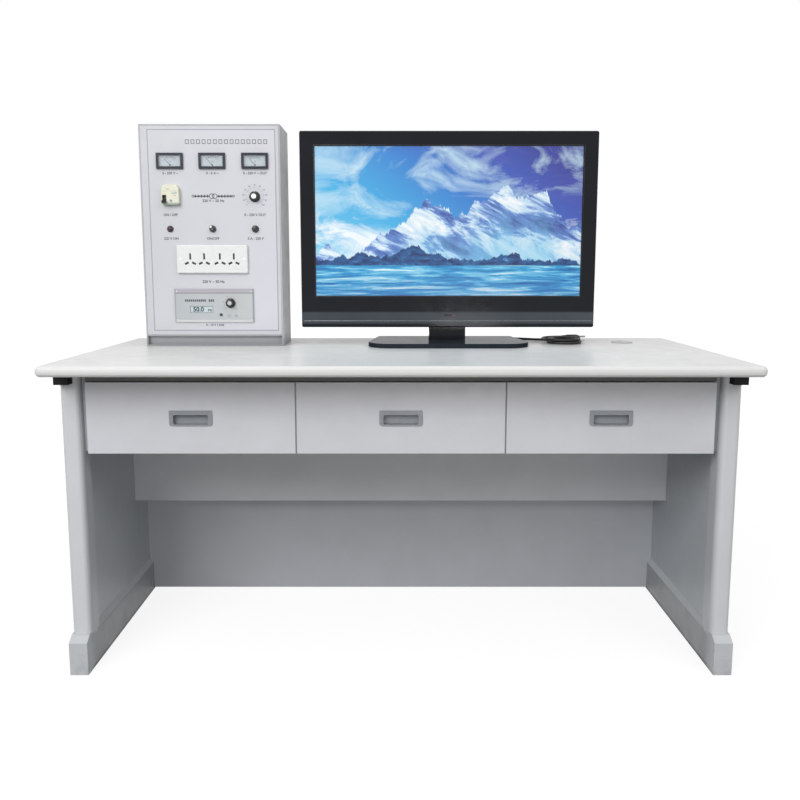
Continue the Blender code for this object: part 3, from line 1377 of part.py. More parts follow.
def make_tv_rear():
    """A shell with a straight skirt that then narrows to its rear face."""
    width, height = TV_WIDTH - 2 * REAR_INSET, TV_HEIGHT - 2 * REAR_INSET
    middle_z = TV_BOTTOM + TV_HEIGHT / 2
    face_width, face_height = TV_WIDTH - REAR_TAPER_WIDTH, TV_HEIGHT - REAR_TAPER_HEIGHT
    skirt_back = REAR_FRONT_Y + REAR_SKIRT_DEPTH
    shape = bmesh.new()
    box_into(shape, *around(TV_X, middle_z, width, height, REAR_FRONT_Y, skirt_back))
    back = max(shape.faces, key=lambda face: face.calc_center_median().y)
    bmesh.ops.inset_region(shape, faces=[back], thickness=SEAT_GAP)
    bmesh.ops.scale(
        shape,
        vec=(face_width / (width - 2 * SEAT_GAP), 1, face_height / (height - 2 * SEAT_GAP)),
        space=Matrix.Translation((-TV_X, 0, -middle_z)),
        verts=back.verts,
    )
    bmesh.ops.translate(shape, vec=(0, TV_BACK_Y - skirt_back, -REAR_FACE_DROP), verts=back.verts)
    front = min(shape.faces, key=lambda face: face.calc_center_median().y)
    bmesh.ops.delete(shape, geom=[front], context="FACES")
    cover = add_shape("tv_rear_cover", shape, "tv_matt_black", (TV_X, REAR_FRONT_Y, middle_z))
    wall = cover.modifiers.new("wall", "SOLIDIFY")
    wall.thickness = REAR_WALL
    wall.offset = -1
    wall.use_even_offset = True
    openings = []
    for index in range(REAR_VENT_COUNT):
        z = middle_z + REAR_VENT_RISE + (index - (REAR_VENT_COUNT - 1) / 2) * REAR_VENT_PITCH
        near_y, far_y = TV_BACK_Y - REAR_WALL - OVERRUN, TV_BACK_Y + OVERRUN
        openings.append(around(TV_X, z, REAR_VENT_LENGTH, REAR_VENT_WIDTH, near_y, far_y))
    cut(cover, blocks("tv_vents", openings))


def stand_outline():
    """The base from above: a straight front with long round corners, narrower at the back."""
    front_end = STAND_WIDTH / 2 - STAND_CORNER_WIDTH
    back_y = STAND_FRONT_Y + STAND_DEPTH
    half = []
    for step in range(ROUND_STEPS // 4 + 1):
        angle = math.tau * step / ROUND_STEPS
        near_y = STAND_FRONT_Y + STAND_CORNER_DEPTH * (1 - math.cos(angle))
        half.append((front_end + STAND_CORNER_WIDTH * math.sin(angle), near_y))
    for step in range(CORNER_SEGMENTS + 1):
        angle = math.pi / 2 * step / CORNER_SEGMENTS
        aside = STAND_BACK_WIDTH / 2 - STAND_BACK_RADIUS * (1 - math.cos(angle))
        half.append((aside, back_y - STAND_BACK_RADIUS * (1 - math.sin(angle))))
    mirrored = [(TV_X - aside, y) for aside, y in reversed(half)]
    return [(TV_X + aside, y) for aside, y in half] + mirrored


def make_stand():
    base = prism(
        "tv_stand_base", stand_outline(), DESK_HEIGHT + SEAT_GAP, STAND_TOP, "XY", "stand_gloss"
    )
    smooth(soften(base, STAND_EDGE_RADIUS))
    near_y = REAR_FRONT_Y + NECK_SETBACK
    neck_top = TV_BOTTOM + REAR_INSET - SEAT_GAP
    neck = block(
        "tv_stand_neck",
        (TV_X - NECK_WIDTH / 2, near_y, STAND_TOP + SEAT_GAP),
        (TV_X + NECK_WIDTH / 2, near_y + NECK_DEPTH, neck_top),
        "tv_gloss_black",
        corner=STAND_EDGE_RADIUS,
        axis=2,
    )
    smooth(neck)


def make_strain_relief():
    place = (LEAD_EXIT_X, TV_BACK_Y + SEAT_GAP, TV_BOTTOM + LEAD_EXIT_RISE)
    profile = (
        (0, RELIEF_LENGTH),
        (RELIEF_TIP_RADIUS, RELIEF_LENGTH),
        (RELIEF_ROOT_RADIUS, RELIEF_FLANGE_THICKNESS),
        (RELIEF_FLANGE_RADIUS, RELIEF_FLANGE_THICKNESS),
        (RELIEF_FLANGE_RADIUS, 0),
        (0, 0),
    )
    turned("tv_lead_relief", profile, place, "lead_rubber", "BACK", steps=SMALL_STEPS)


def eased(along):
    """A share from 0 to 1 that starts and ends level."""
    along = min(max(along, 0), 1)
    return along**2 * (3 - 2 * along)


def lead_route(entry):
    """From the strain relief down to the desk, along it and into the coil's outer turn."""
    start = Vector((LEAD_EXIT_X, TV_BACK_Y + RELIEF_LENGTH + 2 * SEAT_GAP, TV_BOTTOM + LEAD_EXIT_RISE))
    low_z = DESK_HEIGHT + SEAT_GAP + LEAD_RADIUS
    bend = [math.pi / 2 * step / LEAD_FINE_STEPS for step in range(LEAD_FINE_STEPS + 1)]
    top = start + Vector((0, LEAD_EXIT_STRAIGHT, 0))
    route = [start]
    for angle in bend:
        route.append(top + LEAD_BEND_RADIUS * Vector((0, math.sin(angle), math.cos(angle) - 1)))
    low = Vector((start.x, route[-1].y, low_z + LEAD_BEND_RADIUS))
    for angle in bend:
        route.append(low + LEAD_BEND_RADIUS * Vector((1 - math.cos(angle), 0, -math.sin(angle))))
    turn = Vector((STAND_BACK_END + LEAD_TURN_PAST_STAND, low.y, low_z))
    settle = entry - Vector((LEAD_ENTRY_STRAIGHT, 0, 0))
    for step in range(LEAD_FINE_STEPS + 1):
        along = step / LEAD_FINE_STEPS
        point = turn.lerp(settle, eased(along))
        point.x = turn.x + (settle.x - turn.x) * along
        route.append(point)
    route.append(entry - Vector((SEAT_GAP, 0, 0)))
    return route


def evenly(route, spacing):
    """Evenly spaced points along a route."""
    lengths = [0]
    for first, second in zip(route, route[1:]):
        lengths.append(lengths[-1] + (second - first).length)
    count = round(lengths[-1] / spacing)
    points, index = [], 0
    for step in range(count + 1):
        wanted = lengths[-1] * step / count
        while index < len(route) - 2 and lengths[index + 1] < wanted:
            index += 1
        share = (wanted - lengths[index]) / (lengths[index + 1] - lengths[index])
        points.append(route[index].lerp(route[index + 1], share))
    return points


def coil_points():
    """Turns that spiral in on the lower layer, climb, spiral out on the upper and swing clear."""
    points = [Vector((COIL_X - LEAD_DIAMETER, COIL_Y + COIL_OUTER_RADIUS, COIL_LOW_Z))]
    climb_start = (COIL_TURNS - COIL_CLIMB_TURNS) / 2
    exit_start = COIL_TURNS - COIL_EXIT_TURNS
    for step in range(COIL_TURNS * COIL_POINTS_PER_TURN + 1):
        turn = step / COIL_POINTS_PER_TURN
        radius = COIL_OUTER_RADIUS - COIL_PITCH * min(turn, COIL_TURNS - turn)
        radius += COIL_EXIT_SPREAD * eased((turn - exit_start) / COIL_EXIT_TURNS)
        climb = COIL_LAYER_RISE * eased((turn - climb_start) / COIL_CLIMB_TURNS)
        angle = math.pi / 2 - math.tau * turn
        place = (
            COIL_X + radius * math.cos(angle),
            COIL_Y + radius * math.sin(angle),
            COIL_LOW_Z + climb,
        )
        points.append(Vector(place))
    points.append(points[-1] + Vector((LEAD_DIAMETER, 0, 0)))
    return points


def least_gap(points):
    """The smallest clear distance between stretches of the coil that don't follow each other."""
    apart = COIL_POINTS_PER_TURN // 2
    nearest = min(
        (first - second).length
        for index, first in enumerate(points)
        for second in points[index + apart :]
    )
    return nearest - LEAD_DIAMETER


def make_lead():
    points = coil_points()
    run = evenly(lead_route(points[0]), LEAD_STEP)
    tube("tv_lead_run", run, "lead_rubber", 2)
    tube("tv_lead_coil", points, "lead_rubber", 1)
    print(f"least gap of the coil to itself: {least_gap(points) * 1000:.2f} mm")
    stretches = [sum((b - a).length for a, b in zip(path, path[1:])) for path in (run, points)]
    print(f"lead: {stretches[0]:.3f} m free and {stretches[1]:.3f} m coiled")
    make_tie(points)
    make_plug(points[-1])


def make_tie(points):
    """A flat band round all the turns at one angle of the coil."""
    outward = Vector((math.cos(TIE_ANGLE), math.sin(TIE_ANGLE), 0))
    aside = Vector((-outward.y, outward.x, 0))
    centre = Vector((COIL_X, COIL_Y, 0))
    spans = []
    for start, end in zip(points, points[1:]):
        for step in range(LEAD_FINE_STEPS):
            offset = start.lerp(end, step / LEAD_FINE_STEPS) - centre
            if abs(offset.dot(aside)) < TIE_WIDTH / 2 and offset.dot(outward) > 0:
                spans.append(offset.dot(outward))
    inner = min(spans) - LEAD_RADIUS - SEAT_GAP
    outer = max(spans) + LEAD_RADIUS + SEAT_GAP
    low = COIL_LOW_Z - LEAD_RADIUS - SEAT_GAP
    high = COIL_LOW_Z + COIL_LAYER_RISE + LEAD_RADIUS + SEAT_GAP
    curve = bpy.data.curves.new("lead_tie", "CURVE")
    curve.dimensions = "2D"
    curve.fill_mode = "BOTH"
    curve.extrude = TIE_WIDTH / 2
    add_outline(curve, rounded_outline(inner, outer, low, high, LEAD_RADIUS / 2))
    grown = (inner - TIE_THICKNESS, outer + TIE_THICKNESS, low - TIE_THICKNESS, high + TIE_THICKNESS)
    add_outline(curve, rounded_outline(*grown, LEAD_RADIUS / 2 + TIE_THICKNESS))
    tie = flat_curve_object("lead_tie", curve, 0, "XZ", "tv_matt_black")
    tie.location = centre
    tie.rotation_euler.z = TIE_ANGLE


def rounded_outline(left, right, low, high, radius, upper_radius=None):
    """A rectangle's outline with round corners, counter-clockwise."""
    upper = radius if upper_radius is None else upper_radius
    corners = (
        (right, high, 0, upper),
        (left, high, 1, upper),
        (left, low, 2, radius),
        (right, low, 3, radius),
    )
    outline = []
    for across_to, up_to, quarter, turn_radius in corners:
        inward_x = across_to - math.copysign(turn_radius, across_to - (left + right) / 2)
        inward_z = up_to - math.copysign(turn_radius, up_to - (low + high) / 2)
        for step in range(TIE_CORNER_SEGMENTS + 1):
            angle = math.pi / 2 * (quarter + step / TIE_CORNER_SEGMENTS)
            outline.append((inward_x + turn_radius * math.cos(angle), inward_z + turn_radius * math.sin(angle)))
    return outline


def make_plug(lead_end):
    """A moulded plug that lies flat beside the coil, with its cable entry towards the coil."""
    start = lead_end + Vector((SEAT_GAP, 0, 0))
    low = DESK_HEIGHT + SEAT_GAP
    body_x = start.x + PLUG_RELIEF_LENGTH
    shape = bmesh.new()
    box_into(
        shape,
        (body_x, start.y - PLUG_WIDTH / 2, low),
        (body_x + PLUG_LENGTH, start.y + PLUG_WIDTH / 2, low + PLUG_THICKNESS),
    )
    round_edges(shape, 2, PLUG_THICKNESS / 3)
    plug = add_shape("tv_plug", shape, "lead_rubber", (body_x, start.y, low))
    soften(plug, PLUG_EDGE_RADIUS)
    inside = (body_x + PIN_ROOT_DEPTH, start.y, start.z)
    relief = rod("plug_relief", start, inside, PLUG_RELIEF_RADIUS, steps=SMALL_STEPS)
    join(smooth(plug), relief)
    middle = low + PLUG_THICKNESS / 2
    face_x = body_x + PLUG_LENGTH
    pins = (
        (-PIN_SPREAD, PIN_EARTH_OFFSET / 2, PIN_ANGLE),
        (PIN_SPREAD, PIN_EARTH_OFFSET / 2, -PIN_ANGLE),
        (0, -PIN_EARTH_OFFSET / 2, 0),
    )
    for index, (aside, rise, turn) in enumerate(pins):
        pin = block(
            f"plug_pin_{index}",
            (face_x - PIN_ROOT_DEPTH, start.y + aside - PIN_THICKNESS / 2, middle + rise - PIN_WIDTH / 2),
            (face_x + PIN_LENGTH, start.y + aside + PIN_THICKNESS / 2, middle + rise + PIN_WIDTH / 2),
        )
        pin.rotation_euler.x = turn
        join(plug, pin)


def main():
    make_desktop()
    make_grommet()
    for side, hand in ((-1, "left"), (1, "right")):
        make_end_frame(side, hand)
    make_rear_boards()
    make_carriers()
    for index, hand in enumerate(("left", "middle", "right")):
        make_drawer(index, hand)
    make_console_case()
    make_front_panel()
    make_rear_cover()
    for share, hand in zip(METER_COLUMN_SHARES, ("left", "middle", "right")):
        make_meter(share, hand)
    make_breaker()
    make_regulator()
    make_lamp()
    make_toggle()
    make_fuse_carrier()
    make_socket_plate()
    make_generator()
    make_transformer()
    make_bezel()
    make_tv_rear()
    make_stand()
    make_strain_relief()
    make_lead()


for old in list(bpy.data.objects):
    bpy.data.objects.remove(old, do_unlink=True)
parts = add_collection("television_repair_trainer")
cutters = add_collection("cutters")
main()
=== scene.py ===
"""Looks of the television repair trainer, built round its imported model. Metres, front towards -Y."""

import math

import bmesh
import bpy
from mathutils import Matrix, Vector


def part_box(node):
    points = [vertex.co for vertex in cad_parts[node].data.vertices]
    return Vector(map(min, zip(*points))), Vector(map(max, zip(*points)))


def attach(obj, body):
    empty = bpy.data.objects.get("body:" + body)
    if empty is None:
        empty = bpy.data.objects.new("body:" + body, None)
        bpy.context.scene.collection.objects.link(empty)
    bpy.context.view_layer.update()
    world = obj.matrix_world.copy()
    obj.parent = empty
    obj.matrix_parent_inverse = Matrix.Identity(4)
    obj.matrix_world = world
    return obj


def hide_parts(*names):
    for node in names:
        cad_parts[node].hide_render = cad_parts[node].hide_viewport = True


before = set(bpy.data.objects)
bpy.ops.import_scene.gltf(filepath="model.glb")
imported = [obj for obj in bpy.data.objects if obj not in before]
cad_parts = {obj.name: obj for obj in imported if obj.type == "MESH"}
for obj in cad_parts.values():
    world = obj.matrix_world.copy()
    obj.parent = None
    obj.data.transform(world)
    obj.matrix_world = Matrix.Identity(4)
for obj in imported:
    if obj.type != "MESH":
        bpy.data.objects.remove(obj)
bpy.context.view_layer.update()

# Places that the source of the model gives, in metres.
DESK_HEIGHT = 0.765
CONSOLE_LEFT, CONSOLE_WIDTH, CONSOLE_HEIGHT = -0.6907, 0.372, 0.586
CONSOLE_RIGHT = CONSOLE_LEFT + CONSOLE_WIDTH
CONSOLE_X = (CONSOLE_LEFT + CONSOLE_RIGHT) / 2
CONSOLE_FRONT_Y, CONSOLE_BACK_Y = 0.097, 0.247
CONSOLE_TOP = DESK_HEIGHT + CONSOLE_HEIGHT
BREAKER_FACE_Y = CONSOLE_FRONT_Y - 0.014
SOCKET_FACE_Y = CONSOLE_FRONT_Y - 0.0093
GENERATOR_FACE_Y = CONSOLE_FRONT_Y - 0.0043
DIAL_PRINT_Y, CARD_FRONT_Y, CARD_BACK_Y = 0.09956, 0.09958, 0.09969
TV_X, TV_FRONT_Y, TV_BACK_Y = 0.1293, 0.120, 0.210
TV_LOW, TV_WIDTH = 0.8145, 0.800
SCREEN_LOW, SCREEN_WIDTH, SCREEN_HEIGHT = 0.8985, 0.7235, 0.402
HANDS = ("left", "middle", "right")
DRAWER_PITCH = 0.491833
DRAWER_MIDDLE_Z = 0.62785
POCKET_MIDDLE_Z = DRAWER_MIDDLE_Z - 0.0034
LEAD_START = (0.1543, 0.2406, 0.8705)
LEAD_DIAMETER, LEAD_TURN_X, PLUG_LENGTH = 0.007, 0.3253, 0.036
COIL_X, COIL_Y, COIL_LOW_Z = 0.4593, 0.178, 0.7699
COIL_RADIUS, COIL_PITCH, COIL_TURNS = 0.0495, 0.0076, 5

# Places on the console's front, as shares of its width and height.
METER_COLUMNS = (0.2155, 0.516, 0.820)
COLUMNS = (0.203, 0.508, 0.814)
METER_ROW, BREAKER_ROW, KNOB_ROW, SWITCH_ROW = 0.8386, 0.689, 0.6803, 0.536
BREAKER_PLACE, DIAGRAM_PLACE = (0.2178, BREAKER_ROW), (0.517, BREAKER_ROW)
SOCKET_PLACE, GENERATOR_PLACE = (0.501, 0.3997), (0.5035, 0.188)
SQUARES_LEFT, SQUARES_RIGHT = (0.322, 0.923), (0.917, 0.923)

# Offsets from the middle of the socket plate, the generator and the diagram.
OUTLET_OFFSETS = (-0.0582, -0.0210, 0.0210, 0.0582)
DISPLAY_PLACE, DISPLAY_HALF = (-0.0345, -0.0104), (0.0300, 0.0080)
GENERATOR_KNOB_PLACE = (0.0446, 0.0067)
DIAGRAM_DROP = 0.0037

BOLD = 0.022
PRINT_LIFT, PRINT_THICKNESS = 0.00012, 0.00008
BOARD_RIM = 0.0016
WORLD_LEVEL = 0.36

# Sockets of a colour mix that share their names with others.
MIX_SHARE, MIX_FIRST, MIX_SECOND, MIX_RESULT = 0, 6, 7, 2

SIDES = (-1, 1)
CORNERS = ((-1, -1), (-1, 1), (1, -1), (1, 1))


# ---------------------------------------------------------------- materials


def srgb(*levels):
    """A colour from 0-255 display levels, as linear values."""
    colour = []
    for level in levels:
        share = level / 255
        colour.append(share / 12.92 if level <= 10 else ((share + 0.055) / 1.055) ** 2.4)
    return tuple(colour)


def tone(colour, factor, lift=0.0):
    """The colour made darker or lighter, up to white."""
    return tuple(min(level * factor + lift, 1.0) for level in colour)


class Paint:
    """A material, with short calls for the nodes that its colour and relief come from."""

    def __init__(self, name, colour=None, amount=0.0, scale=60.0, detail=4.0):
        self.material = bpy.data.materials.new(name)
        self.material.use_nodes = True
        self.tree = self.material.node_tree
        self.shader = self.tree.nodes["Principled BSDF"]
        self.coordinates = None
        self.base = self.mottle(colour, amount, scale, detail) if colour else None

    def feed(self, socket, value):
        """Links or sets a socket."""
        if isinstance(value, bpy.types.NodeSocket):
            self.tree.links.new(value, socket)
        elif socket.type == "RGBA":
            socket.default_value = (*value, 1.0)
        else:
            socket.default_value = value

    def node(self, kind, **settings):
        made = self.tree.nodes.new("ShaderNode" + kind)
        for key, value in settings.items():
            setattr(made, key, value)
        return made

    def where(self):
        """The point, in the piece's own coordinates."""
        if self.coordinates is None:
            self.coordinates = self.node("TexCoord").outputs["Object"]
        return self.coordinates

    def axes(self):
        """The point's X, Y and Z."""
        split = self.node("SeparateXYZ")
        self.feed(split.inputs[0], self.where())
        return tuple(split.outputs)

    def math(self, operation, *values):
        made = self.node("Math", operation=operation)
        for socket, value in zip(made.inputs, values):
            self.feed(socket, value)
        return made.outputs[0]

    def plus(self, first, second):
        return self.math("ADD", first, second)

    def minus(self, first, second):
        return self.math("SUBTRACT", first, second)

    def times(self, first, second):
        return self.math("MULTIPLY", first, second)

    def either(self, first, second):
        return self.math("MAXIMUM", first, second)

    def off(self, value, middle):
        """How far a value lies from a middle, to either side."""
        return self.math("ABSOLUTE", self.minus(value, middle))

    def span(self, value, low, high, to_low=0.0, to_high=1.0):
        """The value's share of the way between two limits, held at both ends."""
        made = self.node("MapRange", clamp=True)
        for socket, given in zip(made.inputs, (value, low, high, to_low, to_high)):
            self.feed(socket, given)
        return made.outputs[0]

    def band(self, value, start, full, ebb, end):
        """1 between full and ebb, and 0 before the start and after the end."""
        return self.times(self.span(value, start, full), self.span(value, ebb, end, 1.0, 0.0))

    def within(self, value, middle, full, end):
        """1 close to a middle, and 0 further from it than the end."""
        return self.span(self.off(value, middle), full, end, 1.0, 0.0)

    def noise(self, scale, detail=3.0, roughness=0.5, place=None, distortion=0.0):
        """Cloudy noise at the point, at the point stretched by three factors, or at a place given."""
        if isinstance(place, tuple):
            mapping = self.node("Mapping")
            self.feed(mapping.inputs["Vector"], self.where())
            mapping.inputs["Scale"].default_value = place
            place = mapping.outputs[0]
        made = self.node("TexNoise")
        self.feed(made.inputs["Vector"], self.where() if place is None else place)
        settings = {"Scale": scale, "Detail": detail, "Roughness": roughness, "Distortion": distortion}
        for name, value in settings.items():
            made.inputs[name].default_value = value
        return made.outputs["Fac"]

    def ramp(self, value, *stops):
        """The colour that belongs to a value, from (place, colour) stops."""
        made = self.node("ValToRGB")
        self.feed(made.inputs[0], value)
        elements = made.color_ramp.elements
        while len(elements) < len(stops):
            elements.new(0.5)
        for element, (place, colour) in zip(elements, stops):
            element.position = place
            element.color = (*colour, 1.0)
        return made.outputs["Color"]

    def mix(self, share, first, second):
        made = self.node("Mix", data_type="RGBA")
        for index, value in ((MIX_SHARE, share), (MIX_FIRST, first), (MIX_SECOND, second)):
            self.feed(made.inputs[index], value)
        return made.outputs[MIX_RESULT]

    def mottle(self, colour, amount, scale, detail):
        """The colour with a slight lighter and darker mottle."""
        pattern = self.noise(scale, detail, 0.6)
        return self.ramp(pattern, (0.3, tone(colour, 1 - amount)), (0.7, tone(colour, 1 + amount)))

    def over(self, share, colour):
        """Lays a colour over the base."""
        self.base = self.mix(share, self.base, colour)

    def flecks(self, colour, amount, low, high, *noise):
        """Lays a colour over the base where a noise runs high."""
        self.over(self.span(self.noise(*noise), low, high, 0.0, amount), colour)

    def bump(self, height, strength, distance):
        made = self.node("Bump")
        made.inputs["Strength"].default_value = strength
        made.inputs["Distance"].default_value = distance
        self.feed(made.inputs["Height"], height)
        self.feed(self.shader.inputs["Normal"], made.outputs[0])

    def done(self, roughness, **others):
        """The material, with its base colour and other values on the shader."""
        self.feed(self.shader.inputs["Base Color"], self.base)
        self.feed(self.shader.inputs["Roughness"], roughness)
        for name, value in others.items():
            self.feed(self.shader.inputs[name.replace("_", " ").title().replace("Ior", "IOR")], value)
        return self.material

    def finish(self, gloss, relief, **others):
        """Uneven gloss and fine relief: the noise's scale and detail, then its range or strength."""
        scale, detail, low, high = gloss
        rough = self.span(self.noise(scale, detail, 0.6), 0.3, 0.7, low, high)
        scale, detail, strength, distance = relief
        self.bump(self.noise(scale, detail, 0.5), strength, distance)
        return self.done(rough, **others)


def enamel(name, colour, roughness=0.42, amount=0.035, peel=0.10, scuffs=0.0, inner=None, foot=False):
    """Baked enamel or satin laminate: slight mottle, orange peel and faint scuffs.

    Nearer the middle of the desk than inner, and along the console's foot, it is darker if asked: painted
    shade on the posts' inner sides and in the case's recessed kick strip.
    """
    paint = Paint(name, colour, amount, 9.0, 5.0)
    paint.flecks(tone(colour, 0.86), 0.25, 0.62, 0.75, 420.0, 2.0)
    if scuffs:
        paint.flecks(tone(colour, 0.62), scuffs, 0.60, 0.74, 34.0, 6.0, 0.7, (1.0, 1.0, 3.0), 0.6)
    # Painted shade: the posts darker on their inner sides, towards the knee space.
    if inner:
        out = paint.math("ABSOLUTE", paint.axes()[0])
        paint.over(paint.span(out, inner, inner + 0.012, 0.4, 0.0), tone(colour, 0.62))
    # Painted shade in the recessed kick strip along the console's foot, darkest at the desk.
    if foot:
        z = paint.axes()[2]
        painted_foot_shade = paint.span(z, DESK_HEIGHT + 0.001, DESK_HEIGHT + 0.030, 0.75, 0.18)
        below = paint.span(z, DESK_HEIGHT + 0.029, DESK_HEIGHT + 0.032, 1.0, 0.0)
        paint.over(paint.times(painted_foot_shade, below), tone(colour, 0.50))
    return paint.finish((24.0, 4.0, roughness - 0.06, roughness + 0.08), (900.0, 2.0, peel, 0.0004))


def plinth_paint(name, colour):
    """Satin enamel with painted shade on its sides behind its front, a painted highlight along its top
    chamfer, a painted contact shadow at the foot of its sides, and kicks and dust towards the floor.
    """
    paint = Paint(name, colour, 0.04, 12.0, 5.0)
    _, y, z = paint.axes()
    # Painted shade: the sides darker behind the front, under the desk.
    paint.over(paint.span(y, -0.236, -0.190, 0.0, 0.85), tone(colour, 0.58))
    # Painted highlight: a lighter band along the top chamfer behind the front.
    painted_chamfer_highlight = paint.times(paint.span(z, 0.0800, 0.0830), paint.span(y, -0.215, -0.190, 0.0, 0.85))
    paint.over(painted_chamfer_highlight, tone(colour, 1.08))
    low = paint.span(z, 0.0, 0.05, 1.0, 0.0)
    grime = paint.times(low, paint.span(paint.noise(40.0, 6.0, 0.7), 0.38, 0.72))
    paint.over(paint.times(grime, 0.55), tone(colour, 0.45))
    # Painted contact shadow: a dark line along the foot of the sides behind the front.
    line = paint.times(paint.span(z, 0.003, 0.011, 0.85, 0.0), paint.span(y, -0.236, -0.200))
    paint.over(line, tone(colour, 0.12))
    paint.flecks(tone(colour, 0.55), 0.35, 0.60, 0.75, 30.0, 5.0, 0.7, (1.0, 0.6, 4.0), 0.5)
    return paint.finish((30.0, 4.0, 0.38, 0.56), (700.0, 2.0, 0.12, 0.0004))


def desktop_paint():
    """Pale laminate with a faint cloudy print and fine specks, its rounded edge a little lighter."""
    paint = Paint("desktop_laminate")
    x, y, z = paint.axes()
    stops = (0.30, srgb(217, 219, 216)), (0.50, srgb(224, 225, 223)), (0.72, srgb(231, 231, 230))
    paint.base = paint.ramp(paint.noise(7.0, 7.0, 0.62, None, 0.8), *stops)
    paint.flecks(srgb(197, 200, 197), 0.45, 0.56, 0.70, 16.0, 8.0, 0.66, (1.0, 2.4, 1.0), 1.4)
    paint.flecks(srgb(176, 180, 178), 0.55, 0.64, 0.72, 650.0, 2.0)
    side = paint.math("ABSOLUTE", paint.math("DIVIDE", x, 0.800))
    front = paint.math("ABSOLUTE", paint.math("DIVIDE", y, 0.350))
    rim = paint.either(paint.span(side, 0.9855, 0.9875), paint.span(front, 0.9670, 0.9715))
    paint.over(paint.times(rim, 0.85), srgb(222, 222, 221))
    paint.over(paint.span(z, 0.7402, 0.7412, 1.0, 0.0), srgb(190, 184, 170))
    return paint.finish((30.0, 5.0, 0.28, 0.40), (800.0, 3.0, 0.10, 0.0003), specular_ior_level=0.28)


def board_paint(name, colour, edge, node):
    """A laminated board: mottled faces, and a slightly darker edge band towards its outline."""
    low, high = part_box(node)
    paint = Paint(name, colour, 0.03, 10.0, 5.0)
    axes = paint.axes()
    paint.flecks(tone(colour, 0.88), 0.30, 0.60, 0.74, 500.0, 2.0)
    rims = []
    for axis in (0, 2):
        half = (high[axis] - low[axis]) / 2
        out = paint.off(axes[axis], (low[axis] + high[axis]) / 2)
        rims.append(paint.span(out, half - BOARD_RIM, half - BOARD_RIM * 0.6))
    paint.over(paint.times(paint.either(*rims), 0.6), edge)
    paint.flecks(tone(colour, 0.84), 0.22, 0.58, 0.78, 8.0, 5.0, 0.65, (1.0, 1.0, 2.5), 0.8)
    return paint.finish((26.0, 5.0, 0.36, 0.50), (750.0, 3.0, 0.12, 0.0003))


def plastic(name, colour, roughness=0.4, amount=0.05, grain=0.15, specular=0.5):
    """Moulded plastic with a fine grain and uneven gloss."""
    paint = Paint(name, colour, amount, 70.0)
    paint.flecks(tone(colour, 1.6, 0.01), 0.20, 0.60, 0.78, 300.0, 3.0, 0.6)
    gloss = (90.0, 4.0, roughness - 0.06, roughness + 0.07)
    return paint.finish(gloss, (1600.0, 2.0, grain, 0.0003), specular_ior_level=specular)


def metal(name, colour, roughness=0.25):
    """Plated or brushed metal, with fine lines and slight tarnish."""
    paint = Paint(name)
    lines = paint.noise(900.0, 3.0, 0.6, (1.0, 1.0, 0.08))
    paint.base = paint.mix(paint.span(lines, 0.35, 0.7, 0.0, 0.35), colour, tone(colour, 0.72))
    paint.flecks(tone(colour, 0.55), 0.3, 0.58, 0.75, 160.0, 5.0, 0.65)
    paint.bump(lines, 0.12, 0.0002)
    return paint.done(paint.span(lines, 0.3, 0.7, roughness, roughness + 0.16), metallic=1.0)


def gloss_black(name, colour, roughness=0.10, specular=0.32, band=None, ior=1.5):
    """Polished black plastic with faint wipe marks, and a paler band at the bottom if one is given: a
    painted reflection of the desk.
    """
    paint = Paint(name, colour, 0.25, 14.0)
    if band:
        # The band is a painted reflection of the desktop in the gloss.
        low, high, shade = band
        share = paint.band(paint.axes()[2], low - 0.004, low, high, high + 0.005)
        streak = paint.noise(3.0, 4.0, 0.6, (1.0, 1.0, 0.2))
        paint.over(paint.times(share, paint.span(streak, 0.3, 0.7, 0.55, 1.0)), shade)
    wipes = paint.noise(5.0, 6.0, 0.7, (1.0, 1.0, 0.5), 1.2)
    paint.bump(paint.noise(40.0, 2.0, 0.4), 0.02, 0.0004)
    rough = paint.span(wipes, 0.35, 0.7, roughness, roughness + 0.10)
    return paint.done(rough, specular_ior_level=specular, ior=ior)


def console_panel_paint():
    """Printed instrument panel: pale lilac field inside a thin grey line, a margin outside it, and painted
    shade that darkens it towards its left.
    """
    paint = Paint("console_panel_print", srgb(200, 202, 206), 0.02, 14.0)
    x, _, z = paint.axes()
    # Painted shade: the panel darker at its left, lighter towards its right.
    paint.over(paint.span(x, CONSOLE_LEFT, CONSOLE_RIGHT), srgb(209, 209, 216))
    outside = []
    field_x = x, CONSOLE_LEFT + 0.0228, CONSOLE_RIGHT - 0.0130
    field_z = z, DESK_HEIGHT + 0.0430, CONSOLE_TOP - 0.0140
    for place, low, high in (field_x, field_z):
        outside.append(paint.minus(paint.off(place, (low + high) / 2), (high - low) / 2))
    out = paint.either(*outside)
    paint.over(paint.span(out, -0.0002, 0.0002), paint.mottle(srgb(200, 201, 206), 0.02, 14.0, 4.0))
    line = paint.band(out, -0.0013, -0.0009, 0.0009, 0.0013)
    paint.over(paint.times(line, 0.85), srgb(132, 136, 152))
    paint.flecks(srgb(196, 198, 206), 0.25, 0.62, 0.74, 500.0, 2.0)
    return paint.finish((30.0, 4.0, 0.34, 0.46), (1200.0, 2.0, 0.12, 0.0003))


